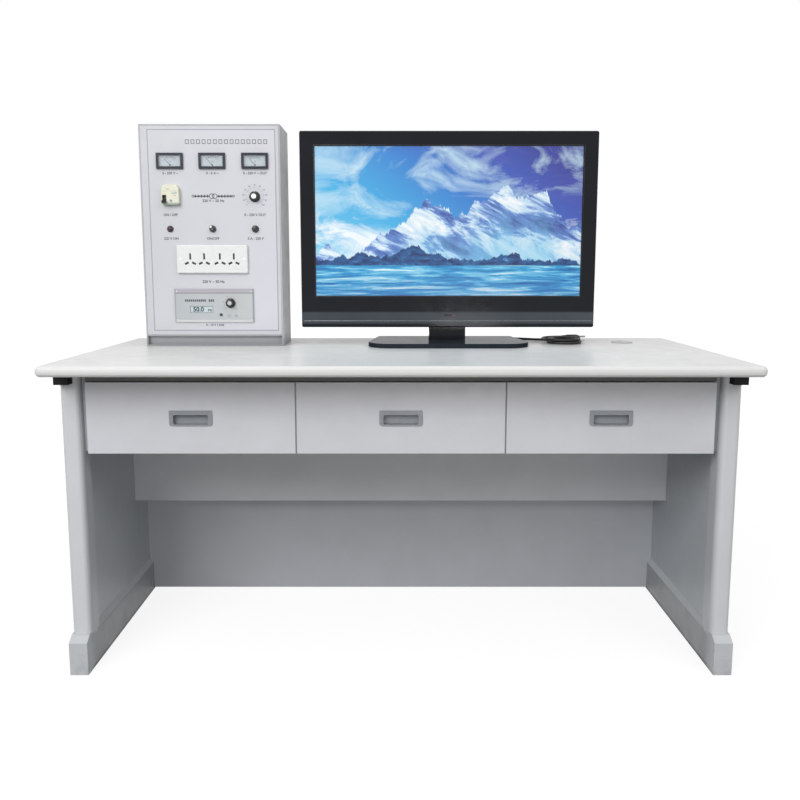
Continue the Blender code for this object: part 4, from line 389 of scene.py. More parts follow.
def generator_paint():
    """The generator's face: cool grey with a mauve top band, a pale display, thin edge lines, and painted
    shade darker towards its left.
    """
    paint = Paint("generator_face", srgb(188, 191, 192), 0.03, 26.0)
    x, y, z = paint.axes()
    middle = on_console(*GENERATOR_PLACE)
    # Painted shade: the face darker and greener towards its left side.
    paint.over(paint.span(x, middle[0] - 0.106, middle[0] + 0.020, 0.45, 0.0), srgb(162, 170, 166))
    paint.flecks(srgb(181, 187, 195), 0.4, 0.40, 0.65, 9.0)
    up = paint.minus(z, middle[1])
    paint.over(paint.span(up, 0.0345, 0.0350), srgb(174, 170, 178))
    paint.over(paint.band(up, 0.0318, 0.0326, 0.0344, 0.0352), srgb(138, 138, 146))
    paint.over(paint.span(up, -0.0375, -0.0370, 1.0, 0.0), srgb(204, 205, 206))
    paint.over(paint.band(up, -0.0376, -0.0372, -0.0364, -0.0360), srgb(160, 164, 168))
    paint.over(paint.span(paint.off(x, middle[0]), 0.1030, 0.1036, 0.0, 0.75), srgb(146, 148, 156))
    display = [
        paint.within(place, centre + offset, half - 0.0002, half + 0.0001)
        for place, centre, offset, half in zip((x, z), middle, DISPLAY_PLACE, DISPLAY_HALF)
    ]
    pale = paint.ramp(paint.noise(60.0), (0.3, srgb(188, 204, 206)), (0.7, srgb(200, 214, 216)))
    paint.over(paint.times(*display), pale)
    paint.over(paint.span(y, 0.0975, 0.0985), srgb(40, 42, 44))
    return paint.finish((60.0, 4.0, 0.34, 0.46), (1300.0, 2.0, 0.12, 0.0003))


def breaker_paint():
    """Cream moulding; its lower cover is grey-green, darkened as painted shade, and the lever's slot is
    dark inside as painted shade.
    """
    paint = Paint("breaker_moulding", srgb(226, 225, 205), 0.04)
    x, y, z = paint.axes()
    middle_x, middle_z = on_console(*BREAKER_PLACE)
    # The lower cover: a grey-green tone, darkened as painted shade along the breaker's foot.
    lower = paint.span(z, middle_z - 0.0225, middle_z - 0.0215, 1.0, 0.0)
    paint.over(paint.times(lower, 0.85), srgb(150, 166, 152))
    left = paint.span(x, middle_x - 0.0232, middle_x - 0.0170, 1.0, 0.0)
    paint.over(paint.times(left, 0.35), srgb(190, 205, 198))
    # Painted shade: dark inside the lever's slot.
    across = paint.within(x, middle_x - 0.0150, 0.0056, 0.0060)
    slot = paint.times(across, paint.within(z, middle_z - 0.0120, 0.0106, 0.0110))
    paint.over(paint.times(paint.span(y, 0.0845, 0.0880), slot), srgb(52, 52, 50))
    return paint.finish((80.0, 4.0, 0.36, 0.48), (1500.0, 2.0, 0.15, 0.0003))


def pull_paint(name):
    """Grey plastic, darker under the roof of the finger pocket as painted shade, and worn paler on its rim.
    """
    paint = Paint(name, srgb(146, 149, 155), 0.05, 80.0)
    _, y, z = paint.axes()
    # Painted shade under the roof of the finger pocket.
    deep = paint.span(y, -0.2312, -0.2240, 0.0, 0.65)
    up = paint.span(z, POCKET_MIDDLE_Z - 0.006, POCKET_MIDDLE_Z + 0.010)
    paint.over(paint.times(deep, up), srgb(100, 107, 111))
    paint.flecks(srgb(172, 176, 181), 0.35, 0.58, 0.75, 160.0, 5.0, 0.6)
    return paint.finish((90.0, 4.0, 0.32, 0.46), (1500.0, 2.0, 0.18, 0.0003))


def glass_paint(name, colour=(0.86, 0.93, 0.97)):
    """Clear moulded window with faint smears; light passes straight through it."""
    paint = Paint(name)
    smear = paint.noise(60.0, 5.0, 0.65, None, 0.8)
    paint.base = paint.ramp(smear, (0.35, colour), (0.75, tone(colour, 1.08)))
    paint.bump(paint.noise(200.0, 2.0, 0.4), 0.03, 0.0003)
    return paint.done(paint.span(smear, 0.35, 0.7, 0.05, 0.15), alpha=0.12, specular_ior_level=0.5)


def dial_paint():
    """Printed dial card behind a meter's window."""
    paint = Paint("meter_dial_card", srgb(196, 207, 216), 0.04)
    fibre = paint.noise(700.0, 3.0, 0.6, (1.0, 1.0, 0.3))
    paint.over(paint.span(fibre, 0.58, 0.74, 0.0, 0.2), srgb(172, 186, 196))
    return paint.done(paint.span(fibre, 0.3, 0.7, 0.5, 0.62))


def ink_paint(name, colour):
    """Screen-printed ink, slightly uneven in density."""
    paint = Paint(name)
    density = paint.noise(900.0, 3.0, 0.6)
    paint.base = paint.ramp(density, (0.3, colour), (0.75, tone(colour, 1.5, 0.01)))
    return paint.done(paint.span(density, 0.3, 0.7, 0.42, 0.58))


def lens_paint():
    """Dark red lamp lens with a fine cellular relief."""
    paint = Paint("lamp_lens")
    ribs = paint.node("TexVoronoi")
    paint.feed(ribs.inputs["Vector"], paint.where())
    ribs.inputs["Scale"].default_value = 1400.0
    ribs = ribs.outputs["Distance"]
    paint.base = paint.ramp(ribs, (0.2, srgb(40, 10, 16)), (0.7, srgb(66, 18, 26)))
    paint.bump(ribs, 0.25, 0.0003)
    return paint.done(0.25, coat_weight=0.15, coat_roughness=0.05)


def lead_paint(name, *levels):
    """Soft black rubber or fabric with some dust."""
    paint = Paint(name, srgb(*levels), 0.25, 40.0)
    paint.flecks(srgb(84, 84, 84), 0.25, 0.58, 0.76, 260.0, 4.0, 0.65)
    return paint.finish((120.0, 3.0, 0.42, 0.58), (1100.0, 3.0, 0.15, 0.0003))


def picture_paint():
    """The television's picture: snowy peaks above blue water, under a sky that turns violet."""
    paint = Paint("television_picture")
    x, y, z = paint.axes()
    u = paint.math("DIVIDE", paint.minus(x, TV_X - SCREEN_WIDTH / 2), SCREEN_WIDTH)
    v = paint.math("DIVIDE", paint.minus(z, SCREEN_LOW), SCREEN_HEIGHT)

    def point(*values):
        joined = paint.node("CombineXYZ")
        for socket, value in zip(joined.inputs, values):
            paint.feed(socket, value)
        return joined.outputs[0]

    def clouds(detail, roughness, scale_u, scale_v, shift, distortion=0.0):
        place = point(paint.times(u, scale_u), paint.times(v, scale_v), shift)
        return paint.noise(1.0, detail, roughness, place, distortion)

    # Sky, from pale cyan through blue to violet at the upper right.
    slope = paint.plus(paint.times(u, 0.62), paint.times(v, 0.50))
    paint.base = paint.ramp(
        slope,
        (0.12, srgb(112, 202, 236)),
        (0.42, srgb(74, 178, 230)),
        (0.68, srgb(62, 130, 208)),
        (0.86, srgb(66, 92, 184)),
        (1.0, srgb(62, 70, 156)),
    )
    wisps = clouds(9.0, 0.62, 3.2, 3.4, 1.7, 0.9)
    paint.over(paint.span(wisps, 0.50, 0.68, 0.0, 0.85), srgb(206, 234, 246))
    banks = clouds(10.0, 0.66, 4.6, 4.2, 8.3, 0.6)
    lean = paint.minus(0.86, paint.plus(paint.times(u, 0.20), v))
    paint.over(paint.span(paint.plus(banks, paint.times(lean, 0.55)), 0.66, 0.82), srgb(240, 248, 252))
    violet = paint.span(clouds(6.0, 0.6, 3.0, 3.8, 14.2, 0.8), 0.48, 0.66)
    paint.over(paint.times(violet, paint.span(slope, 0.55, 1.0, 0.0, 0.55)), srgb(92, 98, 190))

    # Peaks: a broken ridge with lit snow and violet shade.
    bulk = paint.times(paint.minus(clouds(8.0, 0.60, 3.1, 0.0, 5.1), 0.5), 1.35)
    ridge = paint.plus(paint.plus(bulk, paint.times(paint.off(u, 0.66), -0.55)), 0.66)
    depth = paint.minus(ridge, v)
    slanted = point(paint.plus(paint.times(u, 9.0), paint.times(v, 6.5)), paint.times(v, 5.0))
    snow = paint.ramp(
        paint.noise(1.0, 9.0, 0.68, slanted, 0.5),
        (0.36, srgb(58, 74, 148)),
        (0.47, srgb(104, 140, 208)),
        (0.53, srgb(196, 224, 244)),
        (0.62, srgb(248, 251, 253)),
    )
    snow = paint.mix(paint.span(depth, 0.10, 0.46, 0.0, 0.75), snow, srgb(128, 202, 234))
    paint.over(paint.span(depth, -0.004, 0.006), snow)

    # Low wooded hills in front of the peaks.
    hills = clouds(7.0, 0.62, 6.3, 0.0, 21.4)
    hill_top = paint.plus(paint.times(paint.minus(hills, 0.5), 0.42), 0.265)
    wood = paint.ramp(
        clouds(8.0, 0.7, 26.0, 30.0, 2.2, 0.3),
        (0.38, srgb(24, 44, 96)),
        (0.60, srgb(44, 98, 156)),
        (0.70, srgb(122, 178, 214)),
    )
    paint.over(paint.span(paint.minus(hill_top, v), -0.003, 0.004), wood)

    # Water with bright streaks.
    water = paint.ramp(
        clouds(9.0, 0.66, 5.0, 42.0, 3.3, 0.6),
        (0.34, srgb(30, 92, 160)),
        (0.48, srgb(52, 160, 214)),
        (0.57, srgb(136, 212, 236)),
        (0.66, srgb(240, 250, 252)),
    )
    water = paint.mix(paint.span(v, 0.0, 0.2, 0.35, 0.0), water, srgb(60, 84, 166))
    paint.over(paint.span(v, 0.205, 0.213, 1.0, 0.0), water)

    # The panel's own dark border behind the bezel, and its dark back.
    sides = paint.span(paint.off(u, 0.5), 0.4965, 0.4975)
    paint.over(paint.either(sides, paint.span(paint.off(v, 0.5), 0.4940, 0.4955)), srgb(20, 22, 28))
    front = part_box("tv_screen")[0][1]
    paint.over(paint.span(y, front + 0.0004, front + 0.0008), srgb(16, 17, 20))
    return paint.done(0.22, coat_weight=0.25, coat_roughness=0.08, specular_ior_level=0.4)


# ---------------------------------------------------------------- shapes


FACINGS = {
    "FRONT": Matrix(((1, 0, 0), (0, 0, -1), (0, 1, 0))),
    "BACK": Matrix(((-1, 0, 0), (0, 0, 1), (0, 1, 0))),
    "RIGHT": Matrix(((0, 0, 1), (0, 1, 0), (-1, 0, 0))),
}


def on_console(column, row):
    """World X and Z of a place on the console's front."""
    return CONSOLE_LEFT + column * CONSOLE_WIDTH, DESK_HEIGHT + row * CONSOLE_HEIGHT


def clockwise(x, z, reach, angle):
    """X and Z of a place round a centre; angles run clockwise from straight up."""
    return x + reach * math.sin(angle), z + reach * math.cos(angle)


def added(name, data):
    """A new object in the scene."""
    obj = bpy.data.objects.new(name, data)
    bpy.context.scene.collection.objects.link(obj)
    return obj


def dress(node, material):
    """Gives a CAD node its material."""
    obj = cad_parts[node]
    obj.data.materials.clear()
    obj.data.materials.append(material)


def show(name, shape, material, slot, body="desk", smooth=True, angle=32):
    """A finished piece from a bmesh in world coordinates, riding on a body."""
    bmesh.ops.recalc_face_normals(shape, faces=shape.faces)
    mesh = bpy.data.meshes.new(name)
    shape.to_mesh(mesh)
    shape.free()
    mesh.materials.append(material)
    obj = added(name, mesh)
    if smooth:
        mesh.shade_smooth()
        mesh.set_sharp_from_angle(angle=math.radians(angle))
    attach(obj, body)
    return obj


def show_print(name, shape, ink_name, colour, slot, body="desk"):
    """Flat printing, in an ink of its own."""
    return show(name, shape, ink_paint(ink_name, colour), slot, body, smooth=False)


def show_boxes(name, boxes, radius, material, slot, segments=2, **options):
    """A piece made of boxes, each given by its low and high corners."""
    shape = bmesh.new()
    for low, high in boxes:
        add_box(shape, low, high, radius, segments)
    return show(name, shape, material, slot, **options)


def show_turned(name, profile, centres, material, slot, body="desk", angle=32, **turning):
    """A piece made of one turned shape at each of the places."""
    shape = bmesh.new()
    for centre in centres:
        add_turned(shape, profile, centre, **turning)
    return show(name, shape, material, slot, body, angle=angle)


def merge(shape, part):
    """Adds a small bmesh to a bigger one."""
    copy = bpy.data.meshes.new("merge")
    part.to_mesh(copy)
    part.free()
    shape.from_mesh(copy)
    bpy.data.meshes.remove(copy)


def rounded_box(low, high, radius=0.0, segments=2):
    """A box with rounded edges, as a bmesh of its own."""
    part = bmesh.new()
    bmesh.ops.create_cube(part, size=1)
    low, high = Vector(low), Vector(high)
    bmesh.ops.scale(part, vec=high - low, verts=part.verts)
    bmesh.ops.translate(part, vec=(low + high) / 2, verts=part.verts)
    if radius:
        edges = part.edges[:]
        bmesh.ops.bevel(part, geom=edges, offset=radius, segments=segments, profile=0.5, affect="EDGES")
    return part


def add_box(shape, low, high, radius=0.0, segments=2):
    """Adds a box with rounded edges."""
    merge(shape, rounded_box(low, high, radius, segments))


def screw_profile(inner, outer, top, edge, foot):
    """Half section of a screw head, flat up to one radius and bevelled to another."""
    return (0, top), (inner, top), (outer, edge), (outer, foot), (0, foot)


def ring_profile(bore, inner, outer, top, edge, foot):
    """Section of a ring, flat from its bore up to one radius and bevelled to another."""
    return (bore, top), (inner, top), (outer, edge), (outer, foot), (bore, foot), (bore, top)


def add_turned(shape, profile, centre, facing="FRONT", steps=48, flutes=0, depth=0.0, fluted=(0, 0)):
    """A surface of revolution from (radius, height) points; flutes cut into it between two heights."""
    basis, centre = FACINGS[facing], Vector(centre)
    rings = []
    for radius, height in profile:
        if radius < 1e-6:
            rings.append([shape.verts.new(centre + basis @ Vector((0, 0, height)))])
            continue
        ring = []
        for step in range(steps):
            angle = math.tau * step / steps
            reach = radius
            if flutes and fluted[0] <= height <= fluted[1]:
                reach -= depth * (0.5 - 0.5 * math.cos(flutes * angle)) ** 2
            corner = Vector((reach * math.cos(angle), reach * math.sin(angle), height))
            ring.append(shape.verts.new(centre + basis @ corner))
        rings.append(ring)
    for above, below in zip(rings, rings[1:]):
        for step in range(steps):
            following = (step + 1) % steps
            if len(above) == 1 and len(below) == 1:
                break
            if len(above) == 1:
                shape.faces.new((above[0], below[step], below[following]))
            elif len(below) == 1:
                shape.faces.new((above[step], below[0], above[following]))
            else:
                shape.faces.new((above[step], below[step], below[following], above[following]))


def add_flat(shape, points, y):
    """A thin plate with its face towards the front, from (x, z) points."""
    front = [shape.verts.new((x, y - PRINT_THICKNESS, z)) for x, z in points]
    back = [shape.verts.new((x, y, z)) for x, z in points]
    shape.faces.new(front)
    shape.faces.new(back[::-1])
    for index, start in enumerate(front):
        following = (index + 1) % len(front)
        shape.faces.new((start, back[index], back[following], front[following]))


def add_bar(shape, x, z, width, height, y, turn=0.0):
    """A thin printed bar centred at a place, turned clockwise by an angle."""
    across = Vector((math.cos(turn), -math.sin(turn))) * width / 2
    up = Vector((math.sin(turn), math.cos(turn))) * height / 2
    corners = [across + up, -across + up, -across - up, across - up]
    add_flat(shape, [(x + corner.x, z + corner.y) for corner in corners], y)


def add_arc(shape, x, z, radius, width, start, end, y, steps=32):
    """A thin printed arc; angles run clockwise from straight up."""
    inside, outside = radius - width / 2, radius + width / 2
    for step in range(steps):
        near, far = (start + (end - start) * (step + share) / steps for share in (0, 1))
        corners = (inside, near), (inside, far), (outside, far), (outside, near)
        add_flat(shape, [clockwise(x, z, reach, angle) for reach, angle in corners], y)


def add_dashes(shape, left, right, z, height, count, y):
    """A row of short printed dashes between two places."""
    pitch = (right - left) / count
    for index in range(count):
        add_bar(shape, left + (index + 0.5) * pitch, z, pitch * 0.68, height, y)


def rim_sides(x, z, half_x, half_z, width):
    """The four sides of a rim round a window, as low and high x, then low and high z."""
    return (
        (x - half_x - width, x + half_x + width, z + half_z, z + half_z + width),
        (x - half_x - width, x + half_x + width, z - half_z - width, z - half_z),
        (x - half_x - width, x - half_x, z - half_z, z + half_z),
        (x + half_x, x + half_x + width, z - half_z, z + half_z),
    )


def rim_boxes(near_y, far_y, *window):
    """The four sides of a rim as boxes between two depths."""
    return [
        ((low_x, near_y, low_z), (high_x, far_y, high_z))
        for low_x, high_x, low_z, high_z in rim_sides(*window)
    ]


def add_words(shape, words, x, z, size, y, weight=0.0):
    """Printed figures or a short generic word, centred at a place; weight thickens the strokes."""
    curve = bpy.data.curves.new("words", "FONT")
    curve.body = words
    curve.size = size
    curve.align_x = "CENTER"
    curve.align_y = "CENTER"
    curve.extrude = PRINT_THICKNESS / 2
    curve.resolution_u = 3
    curve.offset = size * weight
    guide = added("words", curve)
    graph = bpy.context.evaluated_depsgraph_get()
    mesh = bpy.data.meshes.new_from_object(guide.evaluated_get(graph))
    bpy.data.objects.remove(guide, do_unlink=True)
    place = Matrix.Translation((x, y - PRINT_THICKNESS / 2, z))
    mesh.transform(place @ FACINGS["FRONT"].to_4x4())
    shape.from_mesh(mesh)
    bpy.data.meshes.remove(mesh)


# ---------------------------------------------------------------- camera, floor and light


def make_camera():
    """The camera, fitted to the desk as it is seen in the photograph."""
    data = bpy.data.cameras.new("camera")
    data.sensor_width = 36.0
    data.lens = 35.87
    data.shift_x = 0.0015
    data.shift_y = -0.0357
    data.clip_end = 100.0
    camera = added("camera", data)
    camera.location = (-0.005, -2.0645, 0.9809)
    camera.rotation_euler = (math.radians(90 - 7.53), 0, 0)
    bpy.context.scene.camera = camera


def seen_directly(tree):
    """1 for camera, glossy and transmission rays, 0 for the rest."""
    path = tree.nodes.new("ShaderNodeLightPath")
    total = path.outputs["Is Camera Ray"]
    for name in ("Is Glossy Ray", "Is Transmission Ray"):
        made = tree.nodes.new("ShaderNodeMath")
        made.operation = "MAXIMUM"
        tree.links.new(total, made.inputs[0])
        tree.links.new(path.outputs[name], made.inputs[1])
        total = made.outputs[0]
    return total


def make_world():
    """A white surrounding that lights the object less than it shows."""
    world = bpy.data.worlds.new("studio")
    bpy.context.scene.world = world
    world.use_nodes = True
    tree = world.node_tree
    background = tree.nodes["Background"]
    background.inputs["Color"].default_value = (1.0, 1.0, 1.0, 1.0)
    made = tree.nodes.new("ShaderNodeMapRange")
    tree.links.new(seen_directly(tree), made.inputs["Value"])
    made.inputs["To Min"].default_value = WORLD_LEVEL
    made.inputs["To Max"].default_value = 1.0
    tree.links.new(made.outputs[0], background.inputs["Strength"])


def make_floor():
    """White ground that keeps a faint shadow and shows as white out to its horizon."""
    shape = bmesh.new()
    bmesh.ops.create_grid(shape, x_segments=1, y_segments=1, size=30.0)
    mesh = bpy.data.meshes.new("floor")
    shape.to_mesh(mesh)
    shape.free()
    floor = added("floor", mesh)
    paint = Paint("floor_white")
    x, y, _ = paint.axes()
    squares = paint.plus(paint.times(x, x), paint.times(y, y))
    far = paint.span(paint.math("SQRT", squares), 1.2, 5.0)
    paint.feed(paint.shader.inputs["Base Color"], (0.22, 0.22, 0.22))
    paint.feed(paint.shader.inputs["Roughness"], 0.9)
    paint.feed(paint.shader.inputs["Specular IOR Level"], 0.0)
    glow = paint.node("Emission")
    paint.feed(glow.inputs["Color"], paint.mix(far, (0.86, 0.86, 0.86), (0.98, 0.98, 0.98)))
    paint.feed(glow.inputs["Strength"], seen_directly(paint.tree))
    total = paint.node("AddShader")
    paint.feed(total.inputs[0], paint.shader.outputs[0])
    paint.feed(total.inputs[1], glow.outputs[0])
    paint.feed(paint.tree.nodes["Material Output"].inputs["Surface"], total.outputs[0])
    mesh.materials.append(paint.material)


def make_light(name, place, target, size, power):
    """A square lamp that faces a target."""
    data = bpy.data.lights.new(name, "AREA")
    data.shape = "SQUARE"
    data.size = size
    data.energy = power
    light = added(name, data)
    light.location = place
    direction = Vector(target) - Vector(place)
    light.rotation_euler = direction.to_track_quat("-Z", "Y").to_euler()


# ---------------------------------------------------------------- desk


def dress_desk():
    """Laminate, enamel and plastic of the desk's own pieces."""
    dress("desktop", desktop_paint())
    # The posts carry painted shade on their inner sides.
    post = enamel("post_enamel", srgb(212, 214, 217), 0.40, 0.03, 0.10, 0.15, inner=0.7505)
    # Painted shade: the end panels a darker copy of the desk's grey, for the knee space.
    panel = enamel("panel_enamel", srgb(187, 191, 195), 0.42, 0.03, 0.10, 0.15)
    for hand in ("left", "right"):
        dress("leg_post_" + hand, post)
        dress("end_panel_" + hand, panel)
        dress("plinth_" + hand, plinth_paint("plinth_enamel_" + hand, srgb(199, 202, 205)))
        bearer = plastic("bearer_black_" + hand, srgb(8, 8, 9), 0.65, 0.2, specular=0.2)
        dress("bearer_rail_" + hand, bearer)
        for board in ("divider", "side"):
            dress(f"drawer_{board}_{hand}", enamel(f"{board}_board_{hand}", srgb(168, 172, 176), 0.55))
    duct, modesty = "cable_duct", "modesty_panel"
    dress(duct, board_paint("duct_board", srgb(207, 208, 211), srgb(180, 183, 188), duct))
    # Painted shade: the modesty board a darker copy of the desk's board grey, for the knee space.
    dress(modesty, board_paint("modesty_board", srgb(190, 193, 198), srgb(170, 173, 178), modesty))
    for hand in HANDS:
        front = hand + "_drawer_front"
        dress(front, board_paint(hand + "_drawer_face", srgb(212, 213, 218), srgb(184, 187, 192), front))
        dress(hand + "_drawer_tray", enamel(hand + "_tray_board", srgb(186, 189, 192), 0.55, 0.05))
        dress(hand + "_drawer_pull", pull_paint(hand + "_pull_plastic"))
    dress("cable_grommet", plastic("grommet_ring_plastic", srgb(178, 179, 177), 0.42, 0.04))
    dress("grommet_cap", plastic("grommet_cap_plastic", srgb(187, 187, 185), 0.40, 0.04))


def make_pull_lips():
    """A rolled lip along the top of each finger pocket."""
    z = POCKET_MIDDLE_Z + 0.0128
    for index, hand in enumerate(HANDS):
        x = (index - 1) * DRAWER_PITCH
        box = (x - 0.0385, -0.2330, z - 0.0012), (x + 0.0385, -0.2322, z + 0.0012)
        paint = plastic(hand + "_pull_lip_plastic", srgb(150, 154, 160), 0.35, 0.04)
        name, body = hand + "_pull_lip", hand + "_drawer"
        show_boxes(name, [box], 0.0004, paint, "pull_plastic", segments=3, body=body)


def make_fascia():
    """The dark strip above the drawer fronts, and the thin edge trims between them."""
    low, high = Vector(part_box("left_drawer_front")[0]), Vector(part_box("right_drawer_front")[1])
    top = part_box("desktop")[0][2] - 0.0005
    strip = (low.x, low.y + 0.0035, high.z + 0.0015), (high.x, low.y + 0.0155, top)
    paint = plastic("fascia_plastic", srgb(76, 80, 77), 0.5, 0.12)
    show_boxes("drawer_fascia", [strip], 0.0008, paint, "black_plastic")
    trims = []
    for side in SIDES:
        x = side * DRAWER_PITCH / 2
        trims.append(
            ((x - 0.0007, low.y + 0.0025, low.z + 0.0010), (x + 0.0007, low.y + 0.0178, high.z + 0.0010))
        )
    grey = enamel("divider_trim_grey", srgb(176, 180, 180), 0.5)
    show_boxes("divider_trims", trims, 0.0003, grey, "carrier_board")


# ---------------------------------------------------------------- console


def dress_console():
    """Enamel, print and plastic of the console's own pieces."""
    # The case's foot carries painted shade in its kick strip.
    case = enamel("console_side_enamel", srgb(175, 177, 181), 0.42, 0.03, 0.14, 0.12, foot=True)
    dress("console_case", case)
    rear = enamel("console_rear_enamel", srgb(176, 178, 182), 0.45, 0.03, 0.14, 0.15)
    dress("console_rear_cover", rear)
    dress("console_front_panel", console_panel_paint())
    dress("breaker_body", breaker_paint())
    dress("breaker_test_button", plastic("test_button_plastic", srgb(120, 150, 190), 0.35, 0.05))
    dress("breaker_lever", plastic("breaker_lever_black", srgb(28, 28, 30), 0.35, 0.12))
    dress("socket_plate", plastic("socket_plate_plastic", srgb(229, 230, 230), 0.30, 0.03, 0.05))
    dress("generator_module", generator_paint())
    dress("isolation_transformer", metal("transformer_laminations", (0.10, 0.10, 0.11), 0.5))
    dress("toggle_body", plastic("toggle_bush_dark", srgb(34, 34, 37), 0.4, 0.1))
    dress("toggle_lever", metal("toggle_lever_metal", (0.60, 0.60, 0.62), 0.24))
    housing = plastic("meter_case_plastic", srgb(26, 31, 43), 0.38, 0.08, 0.08, specular=0.3)
    for hand in HANDS:
        dress(hand + "_meter_body", housing)
        dress(hand + "_meter_window", glass_paint(hand + "_meter_clear"))
        dress(hand + "_meter_needle", plastic(hand + "_needle_ink", srgb(28, 28, 32), 0.4, 0.1))


def make_meter_scale(x, z, unit, full, parts):
    """Arcs, ticks, figures and unit of one dial."""
    shape = bmesh.new()
    y, z = DIAL_PRINT_Y, z - 0.0105
    sweep = math.radians(42)
    add_arc(shape, x, z, 0.0213, 0.00035, -sweep, sweep, y)
    add_arc(shape, x, z, 0.0205, 0.00020, -sweep, sweep, y)
    for step in range(41):
        angle = -sweep + 2 * sweep * step / 40
        width, length = (0.00045, 0.0030) if step % 8 == 0 else (0.00022, 0.0016)
        add_bar(shape, *clockwise(x, z, 0.0213 + length / 2, angle), width, length, y, angle)
    for step in range(parts + 1):
        angle = -sweep + 2 * sweep * step / parts
        add_words(shape, str(full * step // parts), *clockwise(x, z, 0.0178, angle), 0.0029, y)
    add_words(shape, unit, x, z + 0.0095, 0.0068, y)
    add_bar(shape, x, z + 0.0052, 0.0042, 0.0003, y)
    return shape


def make_meters():
    """Dial cards with scales, zero screws and the windows' stepped frames."""
    card, ink = dial_paint(), ink_paint("dial_ink", srgb(36, 40, 52))
    trim = plastic("meter_trim_plastic", srgb(30, 35, 49), 0.34, 0.06, 0.05, specular=0.3)
    screw = (0, 0.0012), (0.0020, 0.0011), (0.0024, 0.0007), (0.0024, 0), (0, 0)
    for column, hand, scale in zip(METER_COLUMNS, HANDS, (("V", 250, 5), ("A", 5, 5), ("V", 250, 5))):
        x, z = on_console(column, METER_ROW)
        box = (x - 0.0288, CARD_FRONT_Y, z - 0.0143), (x + 0.0288, CARD_BACK_Y, z + 0.0143)
        show_boxes(hand + "_meter_card", [box], 0, card, "meter_plastic", smooth=False)
        dial = make_meter_scale(x, z, *scale)
        show(hand + "_meter_scale", dial, ink, "needle_black", smooth=False)
        place = (x, 0.0905, z - 0.0176)
        show_turned(hand + "_meter_zero_screw", screw, [place], trim, "meter_plastic", steps=28)
        boxes = [
            ((x - 0.0300, 0.0902, middle - 0.0003), (x + 0.0300, 0.0908, middle + 0.0003))
            for middle in (z + 0.0154, z - 0.0154)
        ]
        show_boxes(hand + "_meter_trim", boxes, 0.0002, trim, "meter_plastic")


def make_knob(name, x, z, y, share, shine):
    """A fluted knob with a skirt, a spun metal cap and a pointer line."""
    body = name + "_knob"
    black = plastic(name + "_black", srgb(30, 30, 33), 0.32, 0.12, 0.12)
    silver = metal(name + "_cap_metal", (shine, shine, shine * 1.01), 0.24)
    top = 0.0165 * share
    radii = (0.0086, 0.0096, 0.0101, 0.0108, 0.0115, 0.0122, 0.0138, 0.0144, 0.0145, 0.0142)
    heights = (top, top - 0.0005, top - 0.0016, 0.0078, 0.0044, 0.0040, 0.0034, 0.0024, 0.0008, 0.0003)
    outline = [(radius * share, height) for radius, height in zip(radii, heights)]
    profile = [(0, top), *outline, (0, 0.0003)]
    flutes = {"flutes": 20, "depth": 0.0009 * share, "fluted": (0.0043, top - 0.0010)}
    grip = show_turned(
        name + "_grip", profile, [(x, y, z)], black, "knob_plastic", body, angle=40, steps=120, **flutes
    )
    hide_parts(body)
    rise, cap = 0.0008, 0.0064 * share
    profile = (
        (0, top + rise),
        (cap * 0.55, top + rise),
        (cap * 0.92, top + rise * 0.85),
        (cap, top + rise * 0.3),
        (cap, top - 0.0003),
        (0, top - 0.0003),
    )
    show_turned(name + "_cap", profile, [(x, y, z)], silver, "bright_metal", body, steps=64)
    line = (x - 0.0005, y - 0.0046, z + 0.0118 * share), (x + 0.0005, y - 0.0036, z + 0.0140 * share)
    ink = ink_paint(name + "_pointer_ink", srgb(236, 236, 236))
    show_boxes(name + "_pointer", [line], 0.0002, ink, "knob_plastic", body=body)


def make_lamp():
    """Dark red lens in a black ring."""
    x, z = on_console(COLUMNS[0], SWITCH_ROW)
    centres = [(x, CONSOLE_FRONT_Y, z)]
    lens = [(0, 0.0075)]
    for step in range(1, 11):
        angle = math.pi / 2 * step / 10
        lens.append((0.0064 * math.sin(angle), 0.0028 + 0.0047 * math.cos(angle)))
    lens += [(0.0064, 0.0020), (0, 0.0020)]
    piece = show_turned("power_lamp_lens", lens, centres, lens_paint(), "lamp_red", steps=64)
    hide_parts("power_lamp")
    profile = ring_profile(0.0064, 0.0078, 0.0085, 0.0031, 0.0024, 0.0003)
    black = plastic("lamp_ring_plastic", srgb(24, 20, 23), 0.4, 0.1)
    ring = show_turned("power_lamp_ring", profile, centres, black, "lamp_red", steps=64)
    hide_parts("power_lamp")


def make_toggle():
    """The knurled nut and the thread of the switch's dark bush."""
    x, z = on_console(COLUMNS[1], SWITCH_ROW)
    profile = ring_profile(0.0063, 0.0088, 0.0092, 0.0028, 0.0024, 0.0006)
    knurl = {"flutes": 24, "depth": 0.0006, "fluted": (0.0005, 0.0026)}
    dark = metal("toggle_nut_metal", (0.10, 0.10, 0.11), 0.4)
    place = (x, CONSOLE_FRONT_Y - 0.0003, z)
    show_turned("toggle_nut", profile, [place], dark, "bright_metal", steps=96, **knurl)
    profile = (0.0061, 0.0040), (0.0066, 0.0036), (0.0061, 0.0032)
    centres = [(x, CONSOLE_FRONT_Y - 0.0010 * step, z) for step in range(5)]
    dark = metal("toggle_thread_metal", (0.10, 0.10, 0.11), 0.4)
    show_turned("toggle_thread", profile, centres, dark, "bright_metal", steps=48)


